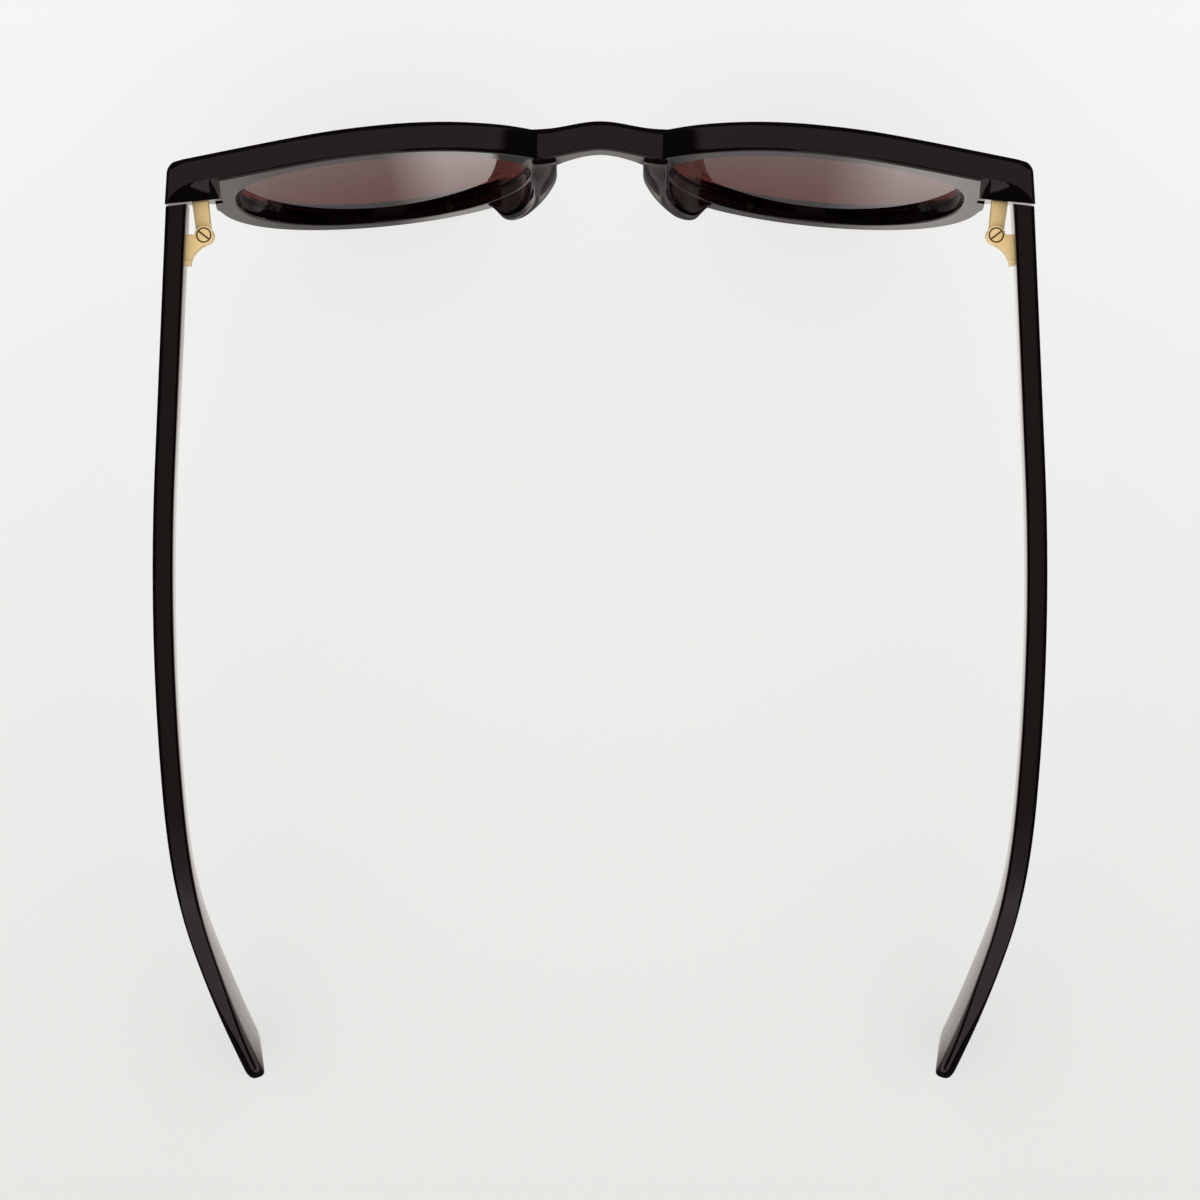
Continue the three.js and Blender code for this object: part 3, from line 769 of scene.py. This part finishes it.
def lensDepth(across, up):
    aside = across - eye["centre"]
    radius = lensShape["curveRadius"]
    sag = radius - math.sqrt(radius ** 2 - aside ** 2 - up ** 2)
    edgeSag = radius - math.sqrt(radius ** 2 - (eye["width"] / 2) ** 2)
    wrap = math.asin(eye["centre"] / plate["curveRadius"])
    plane = curveDepth(eye["centre"]) + aside * math.tan(wrap)
    return lensShape["seat"] + sag - edgeSag + plane - curveDepth(across)


def buildLenses():
    half = lensShape["thickness"] / 2
    angles = spread(lensShape["stations"], 0, 2 * math.pi)[:-1]
    rows = []

    def ring(share, offset, aside):
        row = []
        for angle in angles:
            edge = rimPoint(angle, offset)
            across, up = mix(eye["centre"], edge.x, share), edge.y * share
            row.append(onFront(across, up, lensDepth(across, up) + aside))
        rows.append(row)

    shares = spread(lensShape["rings"])[1:]
    for share in shares:
        ring(share, -lensShape["bevel"], -half)
    for turned in spread(lensShape["edgeRings"], 0, math.pi)[1:-1]:
        offset = lensShape["bevel"] * (math.sin(turned) - 1)
        ring(1, offset, -half * math.cos(turned))
    for share in reversed(shares):
        ring(share, -lensShape["bevel"], half)
    points = [point for row in rows for point in row]
    count = len(angles)
    faces = gridFaces(len(rows), count)
    for hub, first in ((-half, 0), (half, len(points) - count)):
        points.append(onFront(eye["centre"], 0, lensDepth(eye["centre"], 0) + hub))
        middle = len(points) - 1
        faces += [(middle, first + i, first + (i + 1) % count) for i in range(count)]
    addPair("sun_lens", points, faces, "tinted_lens", ("front", "front"), "lens", lensShape["sharpAngle"])


buildLenses()
print("lenses made")

# Nose pads: the section runs from the nose side (0) to the lens side (1)

pad = {
    "rise": 6.5,
    "sweep": math.radians(46),
    "overhang": 0.9,
    "margin": 0.3,
    "depth": 4.2,
    "least": 0.5,
    "depths": [0, 0.5, 0.84, 0.96, 1, 1, 0.8, 0],
    "section": [(0, 0), (-0.03, 0.16), (0.07, 0.36), (0.26, 0.62), (0.50, 0.86), (0.72, 1), (0.93, 0.88),
                (1, 0)],
    "sink": 0.25,
    "stations": 90,
    "steps": 40,
    "sharpAngle": 35,
}


def buildPads():
    sweepLength = pad["sweep"] * (eye["drop"] + eye["rimReach"])
    riseShare = pad["rise"] / (pad["rise"] + sweepLength)
    rows = []
    for share in spread(pad["stations"]):
        rise = pad["rise"] * max(1 - share / riseShare, 0)
        angle = math.pi + pad["sweep"] * max((share - riseShare) / (1 - riseShare), 0)
        outer = rimPoint(angle, eye["rimReach"] + pad["overhang"])
        inner = rimPoint(angle, -eye["bite"] + pad["margin"])
        depth = pad["least"] + (pad["depth"] - pad["least"]) * max(curveThrough(pad["depths"], share), 0)
        row = []
        for around in spread(pad["steps"]):
            aside = curveThrough([place[0] for place in pad["section"]], around)
            height = curveThrough([place[1] for place in pad["section"]], around)
            place = outer.lerp(inner, aside) + Vector((0, rise))
            row.append(onFront(place.x, place.y, plate["thickness"] + depth * height))
        for aside in (1, 0.5, 0):
            place = outer.lerp(inner, aside) + Vector((0, rise))
            row.append(onFront(place.x, place.y, plate["thickness"] - pad["sink"]))
        rows.append(row)
    columns = len(rows[0])
    points = [point for row in rows for point in row]
    faces = gridFaces(len(rows), columns)
    faces += [tuple(range(columns)), tuple(reversed(range(len(points) - columns, len(points))))]
    addPair("bridge_pad", points, faces, "black_acetate", ("front", "front"), "nose_pad", pad["sharpAngle"])


buildPads()
print("nose pads made")

# Temples: a rounded section carried along a bent path from the joint with the front

temple = {
    "length": 153,
    "thickness": 3.3,
    "tipThickness": 2.9,
    "buttHeight": 11.8,
    "waistHeight": 8.6,
    "paddleHeight": 10.8,
    "centreUp": 10.1,
    "step": 0.36,
    "gap": 0.3,
    "edge": 0.5,
    "tipEdge": 1.35,
    "edgeShrink": 0.9,  # how much of the tip's rounding its edge follows
    "splay": math.radians(2.6),
    "bowStart": 42,
    "bowRadius": 400,
    "earStart": 94,
    "earEnd": 124,
    "earCurl": math.radians(5.9),
    "earBend": math.radians(41),
    "slope": math.radians(2.4),
    "taperEnd": 86,
    "paddleStart": 116,
    "paddleFull": 140,
    "tipRound": 5,
    "tipPower": 2.6,
    "tipThinning": 0.5,
    "thinningPower": 4,
    "tipMost": 0.9995,  # the last ring stays a little open
    "pathSteps": 612,
    "stationSteps": 150,
    "tipSteps": 28,
    "edgeSteps": 5,
    "sharpAngle": 30,
}


def templeYaw(along):
    bowed = max(along - temple["bowStart"], 0) / temple["bowRadius"]
    curled = temple["earCurl"] * smoothStep(along, temple["earStart"], temple["earEnd"])
    return temple["splay"] - bowed - curled


def templePitch(along):
    return temple["slope"] + temple["earBend"] * smoothStep(along, temple["earStart"], temple["earEnd"])


def turnedBy(vector, axis, angle):
    return Matrix.Rotation(angle, 3, axis) @ vector


def makeTemplePath():
    slant, splay = endPiece["slant"], temple["splay"]
    across = endPiece["halfWidth"] - temple["step"] - temple["thickness"] / 2
    rearFace = endPiece["rearAt"] + (across - endPiece["halfWidth"]) * math.tan(slant)
    point = Vector((across, rearFace + temple["gap"] / math.cos(slant), temple["centreUp"]))
    forwards = Vector((math.sin(splay), math.cos(splay), 0))
    inwards = Vector((-forwards.y, forwards.x, 0))
    forwards = turnedBy(forwards, inwards, temple["slope"])
    up = turnedBy(Vector((0, 0, 1)), inwards, temple["slope"])
    step = temple["length"] / temple["pathSteps"]
    path = []
    for i in range(temple["pathSteps"] + 1):
        path.append((point.copy(), forwards.copy(), up.copy(), inwards.copy()))
        bend = templePitch((i + 1) * step) - templePitch(i * step)
        curl = templeYaw(i * step) - templeYaw((i + 1) * step)
        forwards = turnedBy(turnedBy(forwards, inwards, bend), up, curl)
        turnedUp = turnedBy(up, inwards, bend)
        inwards = turnedBy(inwards, up, curl)
        up = turnedUp
        point = point + forwards * step
    return path


templePath = makeTemplePath()
rearTurn = Vector((math.sin(endPiece["slant"]), -math.cos(endPiece["slant"]), 0))


def templeFrame(along):
    place = min(max(along / temple["length"], 0), 1) * temple["pathSteps"]
    low = min(int(place), temple["pathSteps"] - 1)
    return [a.lerp(b, place - low) for a, b in zip(templePath[low], templePath[low + 1])]


def templeRing(along, squeeze=0):
    shrink = (1 - squeeze ** temple["tipPower"]) ** (1 / temple["tipPower"])
    taper = mix(temple["buttHeight"], temple["waistHeight"], smoothStep(along, 0, temple["taperEnd"]))
    paddle = smoothStep(along, temple["paddleStart"], temple["paddleFull"])
    height = mix(taper, temple["paddleHeight"], paddle) * shrink / 2
    thin = smoothStep(along, temple["earStart"], temple["paddleFull"])
    thickness = mix(temple["thickness"], temple["tipThickness"], thin) / 2
    thickness *= 1 - temple["tipThinning"] * squeeze ** temple["thinningPower"]
    rounding = smoothStep(along, temple["earEnd"], temple["length"] - temple["tipRound"])
    edge = min(mix(temple["edge"], temple["tipEdge"], rounding), thickness)
    edge *= mix(1, shrink, temple["edgeShrink"])
    point, _, up, inwards = templeFrame(along)
    ring = []
    for corner, (aside, rise) in enumerate(((1, 1), (-1, 1), (-1, -1), (1, -1))):
        for turned in spread(temple["edgeSteps"], corner * math.pi / 2, (corner + 1) * math.pi / 2):
            across = aside * (thickness - edge) + edge * math.cos(turned)
            level = rise * (height - edge) + edge * math.sin(turned)
            ring.append(point + inwards * across + up * level)
    return ring


def ontoJointFace(ring):
    origin, forwards = templePath[0][:2]
    return [point + forwards * ((origin - point).dot(rearTurn) / forwards.dot(rearTurn)) for point in ring]


def buildTemples():
    tipStart = temple["length"] - temple["tipRound"]
    rows = [ontoJointFace(templeRing(0))]
    rows += [templeRing(along) for along in spread(temple["stationSteps"], 0, tipStart)[1:]]
    for share in spread(temple["tipSteps"], 0, math.pi / 2)[1:]:
        squeeze = min(math.sin(share), temple["tipMost"])
        rows.append(templeRing(tipStart + temple["tipRound"] * squeeze, squeeze))
    columns = len(rows[0])
    points = [point for row in rows for point in row]
    faces = gridFaces(len(rows), columns)
    faces += [tuple(reversed(range(columns))), tuple(range(len(points) - columns, len(points)))]
    addPair("arm", points, faces, "black_acetate", ("left_arm", "right_arm"), "temple", temple["sharpAngle"])


buildTemples()
print("temples made")

# Hinges: their own frame has the screw on Z, the temple on +X and the front on -Y

hinge = {
    "radius": 1.5,
    "height": 1.2,
    "gap": 0.25,
    "count": 5,
    "behindButt": 4.5,
    "offset": 2.89,
    "plateProud": 0.9,
    "plateSink": 0.6,
    "plateLength": 4.9,
    "plateFoot": 0.9,  # length of the end of the plate, from its groove back
    "groove": 0.14,
    "grooveInset": 0.05,
    "wingLength": 4.2,
    "wingTurn": math.radians(-234),
    "wingHollow": 0.5,
    "wingProud": 0.02,  # how far the wing lands in front of the plate
    "wingRoot": 0.3,  # and how deep it is rooted in the plate
    "strapWidth": 2.4,
    "strapRoot": 2.7,  # the strap widens a little towards the front
    "strapSink": 2.6,
    "strapStop": 2,
    "edge": 0.1,
    "fineEdge": 0.02,
    "edgeShare": 0.3,  # where the middle line of a rounded edge stands
    "sharpest": 0.4,  # keeps the bevel short at a sharp corner
    "arcSteps": 48,
    "wingSteps": 14,
    "rootSteps": 8,
    "sharpAngle": 30,
}

screw = {
    "shank": 0.55,
    "head": 1.05,
    "headThickness": 0.5,
    "recess": 0.1,
    "headGap": 0.2,
    "edge": 0.12,
    "slotLength": 3,
    "slotWidth": 0.3,
    "slotDepth": 0.42,
    "slotTurn": math.radians(-35),
    "cutHeight": 1,
    "steps": 48,
}

stackHeight = hinge["count"] * hinge["height"] + (hinge["count"] - 1) * hinge["gap"]
hingePoint, hingeForwards, hingeUp, hingeInwards = templeFrame(hinge["behindButt"])
pivot = hingePoint + hingeInwards * (temple["thickness"] / 2 + hinge["offset"])
templeLeafPlace = Matrix.Translation(pivot) @ Matrix.Rotation(-temple["splay"], 4, "Z")
frontLeafPlace = Matrix.Translation(pivot) @ Matrix.Rotation(endPiece["slant"], 4, "Z")
rearCorner = Vector((endPiece["halfWidth"], endPiece["rearAt"], 0)) - Vector((pivot.x, pivot.y, 0))
strapReach = rearCorner.dot(rearTurn)


def arc(radius, first, last, steps):
    return [Vector((radius * math.cos(a), radius * math.sin(a))) for a in spread(steps, first, last)]


class Solid:
    def __init__(self):
        self.points = []
        self.faces = []

    def add(self, rows):
        first = len(self.points)
        columns = len(rows[0])
        self.points += [point for row in rows for point in row]
        for face in gridFaces(len(rows), columns):
            self.faces.append(tuple(first + corner for corner in face))
        last = first + (len(rows) - 1) * columns
        self.faces += [tuple(range(first, first + columns)), tuple(reversed(range(last, last + columns)))]

    def slab(self, outline, floor, top, edge):
        # an outline with a small rounded edge at its top and bottom
        inwards = []
        for i, point in enumerate(outline):
            ways = []
            for way in (point - outline[i - 1], outline[(i + 1) % len(outline)] - point):
                way = way.normalized()
                ways.append(Vector((-way.y, way.x)))
            inwards.append((ways[0] + ways[1]) / max(1 + ways[0].dot(ways[1]), hinge["sharpest"]))
        rows = []
        part = hinge["edgeShare"]
        for inset, level in ((1, floor), (part, floor + part * edge), (0, floor + edge),
                             (0, top - edge), (part, top - part * edge), (1, top)):
            rows.append([Vector((*(point + way * edge * inset), level))
                         for point, way in zip(outline, inwards)])
        self.add(rows)

    def block(self, low, high, edge):
        outline = [Vector((low[0], low[1])), Vector((high[0], low[1])), Vector((high[0], high[1])),
                   Vector((low[0], high[1]))]
        self.slab(outline, low[2], high[2], edge)


def levelOf(knuckle):
    return -stackHeight / 2 + knuckle * (hinge["height"] + hinge["gap"])


def templeLeaf():
    leaf = Solid()
    face = hinge["offset"] - hinge["plateProud"]
    under = hinge["offset"] + hinge["plateSink"]
    half = stackHeight / 2
    foot = hinge["plateLength"] - hinge["plateFoot"]
    leaf.block((face, 0, -half), (under, foot, half), hinge["edge"])
    leaf.block((face + hinge["groove"], foot - hinge["edge"], -half + hinge["grooveInset"]),
               (under, foot + hinge["groove"], half - hinge["grooveInset"]), hinge["fineEdge"])
    leaf.block((face, foot + hinge["groove"], -half), (under, hinge["plateLength"], half), hinge["edge"])
    knuckleArc = arc(hinge["radius"], hinge["wingTurn"], 0, hinge["arcSteps"])
    land = Vector((face - hinge["wingProud"], hinge["wingLength"]))
    hollow = Vector((face - hinge["wingHollow"], hinge["wingLength"] / 2))
    wing = [bezier([land, hollow, knuckleArc[0]], share) for share in spread(hinge["wingSteps"])]
    root = [Vector((face + hinge["wingRoot"], hinge["wingLength"] * share))
            for share in spread(hinge["rootSteps"])]
    outline = wing[:-1] + knuckleArc + root
    for knuckle in range(0, hinge["count"], 2):
        leaf.slab(outline, levelOf(knuckle), levelOf(knuckle) + hinge["height"], hinge["edge"])
    return leaf


def frontLeaf():
    leaf = Solid()
    half, root = hinge["strapWidth"] / 2, hinge["strapRoot"] / 2
    start = -strapReach - hinge["strapSink"]
    solidEnd = -hinge["strapStop"]
    web = [Vector((-root, start)), Vector((root, start)), Vector((half, solidEnd)), Vector((-half, solidEnd))]
    webTop = levelOf(hinge["count"] - 1) - hinge["gap"] - hinge["edge"]
    leaf.slab(web, levelOf(1) + hinge["edge"], webTop, hinge["fineEdge"])
    lean = math.acos(half / hinge["radius"])
    tip = arc(hinge["radius"], -lean, lean + math.pi, hinge["arcSteps"])
    for knuckle in range(1, hinge["count"], 2):
        level = levelOf(knuckle)
        leaf.slab(web[:3] + tip + web[3:], level, level + hinge["height"], hinge["edge"])
    return leaf


def hingeScrew():
    body = Solid()
    top = stackHeight / 2 - screw["recess"]
    under = top - screw["headThickness"]
    edge = screw["edge"]
    angles = spread(screw["steps"], 0, 2 * math.pi)[:-1]
    rows = []
    for radius, level in ((screw["shank"], -stackHeight / 2 + screw["recess"]), (screw["shank"], under),
                          (screw["head"], under), (screw["head"], top - edge),
                          (screw["head"] - hinge["edgeShare"] * edge, top - hinge["edgeShare"] * edge),
                          (screw["head"] - edge, top)):
        rows.append([Vector((radius * math.cos(a), radius * math.sin(a), level)) for a in angles])
    body.add(rows)
    return body, top


def buildHinges():
    for name, leaf, place, bodies, node in (
            ("temple_leaf", templeLeaf(), templeLeafPlace, ("left_arm", "right_arm"), "temple_hinge_leaf"),
            ("front_leaf", frontLeaf(), frontLeafPlace, ("front", "front"), "front_hinge_leaf")):
        points = [place @ point for point in leaf.points]
        addPair(name, points, leaf.faces, "gold_metal", bodies, node, hinge["sharpAngle"])
    body, top = hingeScrew()
    points = [templeLeafPlace @ point for point in body.points]
    addPair("slotted_screw", points, body.faces, "gold_metal", ("left_arm", "right_arm"), "hinge_screw",
            hinge["sharpAngle"])
    # the slot in the head of the screw, and the round seat of the head in the top knuckle
    slot = Vector((screw["slotLength"], screw["slotWidth"], screw["cutHeight"]))
    seatWidth = 2 * (screw["head"] + screw["headGap"])
    seat = Vector((seatWidth, seatWidth, screw["cutHeight"]))
    for side, sign in (("left", 1), ("right", -1)):
        for piece, size, floor in (("_slotted_screw", slot, top - screw["slotDepth"]),
                                   ("_temple_leaf", seat, stackHeight / 2 - screw["headThickness"])):
            centre = toShared(templeLeafPlace @ Vector((0, 0, floor + size.z / 2)))
            centre.x *= sign
            cutAway(bpy.data.objects[side + piece], Matrix.Translation(centre)
                    @ Matrix.Rotation(sign * (screw["slotTurn"] - temple["splay"]), 4, "Z")
                    @ Matrix.Diagonal((*size * drawing["millimetre"], 1)), hinge["sharpAngle"], size is seat)


buildHinges()
print("hinges made")

# The core wires don't show: they keep the frame's own shape and get their metal
for side in ("left", "right"):
    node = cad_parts[side + "_temple_core_wire"]
    for slot in node.material_slots:
        slot.material = materials["core_metal"]

# Camera and light: seen from straight above, with the front at the top of the picture

camera = {
    "height": 1.346,
    "behind": -0.0008,
    "lens": 243.8,
    "sensor": 36.0,
    "clipEnd": 20,
}

studio = {
    "floorSize": 6.0,
    "floorFar": (0.930, 0.930, 0.914, 1),
    "floorNear": (0.805, 0.805, 0.787, 1),
    "fadeFrom": -0.097,
    "fadeTo": 0.097,
    "glow": 0.75,
    "sky": 1.0,
    "skyColor": (1, 1, 1, 1),
    # what glossy surfaces see of the floor: a strip across it, up to mirrorSide
    "mirrorSide": 0.08,
    "mirror": [(0.0, 0.0), (0.03, 1.1), (0.13, 1.1), (0.16, 1.25), (0.205, 1.25), (0.275, 0.44),
               (0.40, 0.42), (0.425, 0.18), (0.475, 0.25), (0.485, 0.8), (0.515, 0.8), (0.525, 0.25),
               (0.598, 0.12), (0.606, 1.5), (0.655, 1.5), (0.71, 0.42), (0.82, 0.48), (0.86, 0.66),
               (0.97, 0.66), (1.0, 0.0)],
    "mirrorTint": (1.0, 0.945, 0.925),
    "mirrorUnder": 0.75,  # how bright the strip stays under the front
    "mirrorNose": 0.25,  # between the nose pads
    "mirrorBehind": 0.95,  # between the temples
    "mirrorAround": 0.04,
    # where its parts end, in metres from the middle of the glasses
    "underBack": (-0.065, -0.05),
    "noseSide": (0.011, 0.015),
    "noseBack": (-0.063, -0.058),
    "behindFront": (-0.045, -0.02),
    "stripFront": (-0.086, -0.078),
    "stripBack": (0.070, 0.080),
    "stripBackSide": (0.03, 0.045),
    "stripSide": (0.073, 0.079),
    "stripTaper": (0.02, 0.085),
    "stripTaperBy": 0.018,
    # what they see above: a panel from the front (0) over the top (0.5) to the back (1)
    "panel": [(0.0, (0.03, 0.03, 0.03, 1)), (0.21, (0.03, 0.03, 0.03, 1)), (0.235, (0.50, 0.38, 0.40, 1)),
              (0.33, (0.50, 0.38, 0.40, 1)), (0.45, (0.30, 0.23, 0.22, 1)), (0.57, (0.30, 0.23, 0.22, 1)),
              (0.80, (0.53, 0.45, 0.46, 1)), (0.92, (0.95, 0.84, 0.86, 1)), (1.0, (0.70, 0.60, 0.58, 1))],
    "dark": (0.02, 0.02, 0.02, 1),
    # the panel is wide in front, narrow overhead and wider again low behind the glasses
    "panelSide": (0.8, 0.88),
    "panelNarrows": (-0.28, -0.12),
    "panelNarrowsBy": 0.63,
    "panelLow": (0.35, 0.5),
    "panelLowBack": (0.0, 0.3),
    "panelWidensBy": 0.2,
}


def buildStage():
    material, board = newMaterial("pale_floor")
    place = board.node("ShaderNodeTexCoord", output="Object")
    across = board.node("ShaderNodeSeparateXYZ", {}, {"Vector": place}, "X")
    back = board.node("ShaderNodeSeparateXYZ", {}, {"Vector": place}, "Y")
    fade = board.node("ShaderNodeMapRange", {}, {
        "Value": back, "From Min": studio["fadeFrom"], "From Max": studio["fadeTo"],
    })
    color = board.node("ShaderNodeMix", {"data_type": "RGBA"},
                       {"Factor": fade, "A": studio["floorFar"], "B": studio["floorNear"]}, "Result")
    seen = [board.node("ShaderNodeLightPath", output=name)
            for name in ("Is Camera Ray", "Is Transmission Ray", "Is Glossy Ray")]
    greys = [(stop, (grey, grey, grey, 1)) for stop, grey in studio["mirror"]]
    strip = board.node("ShaderNodeValToRGB", {"stops": greys},
                       {"Fac": across * (0.5 / studio["mirrorSide"]) + 0.5})
    under = studio["mirrorUnder"] + back.rise(*studio["underBack"]) * (1 - studio["mirrorUnder"])
    nose = (1 - abs(across).rise(*studio["noseSide"])) * (1 - back.rise(*studio["noseBack"]))
    behind = back.rise(*studio["behindFront"])
    taper = back.rise(*studio["stripTaper"]) * studio["stripTaperBy"]
    sides = 1 - (abs(across) + taper).rise(*studio["stripSide"])
    tips = back.rise(*studio["stripBack"]) * abs(across).rise(*studio["stripBackSide"])
    ends = back.rise(*studio["stripFront"]) * (1 - tips)
    front = strip * under * (1 - nose) + nose * studio["mirrorNose"]
    level = (front * (1 - behind) + behind * studio["mirrorBehind"]) * sides * ends + studio["mirrorAround"]
    mirroring = seen[2] * (1 - seen[1])
    share = (seen[0] + seen[1]) * studio["glow"] + mirroring
    plain = board.node("ShaderNodeBsdfDiffuse", {}, {"Color": color})
    tinted = board.node("ShaderNodeVectorMath", {"operation": "MULTIPLY"},
                        {0: color, 1: studio["mirrorTint"]})
    mirrored = board.node("ShaderNodeVectorMath", {"operation": "SCALE"}, {0: tinted, "Scale": level})
    shown = board.node("ShaderNodeMix", {"data_type": "RGBA"},
                       {"Factor": mirroring, "A": color, "B": mirrored}, "Result")
    glow = board.node("ShaderNodeEmission", {}, {"Color": shown, "Strength": 1.0})
    surface = board.node("ShaderNodeMixShader", {}, {0: share, 1: plain, 2: glow})
    board.node("ShaderNodeOutputMaterial", {}, {"Surface": surface})
    mesh = bpy.data.meshes.new("floor")
    half = studio["floorSize"] / 2
    corners = [(-half, -half, 0), (half, -half, 0), (half, half, 0), (-half, half, 0)]
    mesh.from_pydata(corners, [], [(0, 1, 2, 3)])
    mesh.materials.append(material)
    floor = bpy.data.objects.new("floor", mesh)
    bpy.context.scene.collection.objects.link(floor)


def buildSky():
    world = bpy.data.worlds.new("pale_studio")
    world.use_nodes = True
    board = Board(world.node_tree)
    way = board.node("ShaderNodeTexCoord", output="Generated")
    aside = abs(board.node("ShaderNodeSeparateXYZ", {}, {"Vector": way}, "X"))
    back = board.node("ShaderNodeSeparateXYZ", {}, {"Vector": way}, "Y")
    up = board.node("ShaderNodeSeparateXYZ", {}, {"Vector": way}, "Z")
    panel = board.node("ShaderNodeValToRGB", {"stops": studio["panel"]}, {"Fac": back * 0.5 + 0.5})
    narrower = back.rise(*studio["panelNarrows"]) * studio["panelNarrowsBy"]
    wider = (1 - up.rise(*studio["panelLow"])) * back.rise(*studio["panelLowBack"]) * studio["panelWidensBy"]
    lit = 1 - (aside + narrower - wider).rise(*studio["panelSide"])
    reflected = board.node("ShaderNodeMix", {"data_type": "RGBA"},
                           {"Factor": lit, "A": studio["dark"], "B": panel}, "Result")
    glossy = board.node("ShaderNodeLightPath", output="Is Glossy Ray")
    through = board.node("ShaderNodeLightPath", output="Is Transmission Ray")
    color = board.node("ShaderNodeMix", {"data_type": "RGBA"},
                       {"Factor": glossy * (1 - through), "A": studio["skyColor"], "B": reflected}, "Result")
    light = board.node("ShaderNodeBackground", {}, {"Color": color, "Strength": studio["sky"]})
    board.node("ShaderNodeOutputWorld", {}, {"Surface": light})
    bpy.context.scene.world = world


buildStage()
buildSky()
bpy.context.scene.view_settings.view_transform = "Standard"

cameraData = bpy.data.cameras.new("plan_camera")
cameraData.lens = camera["lens"]
cameraData.sensor_width = camera["sensor"]
cameraData.clip_end = camera["clipEnd"]
cameraObject = bpy.data.objects.new("plan_camera", cameraData)
cameraObject.matrix_world = (Matrix.Translation((0, camera["behind"], camera["height"]))
                             @ Matrix.Rotation(math.pi, 4, "Z"))
bpy.context.scene.collection.objects.link(cameraObject)
bpy.context.scene.camera = cameraObject
print("camera and light made")
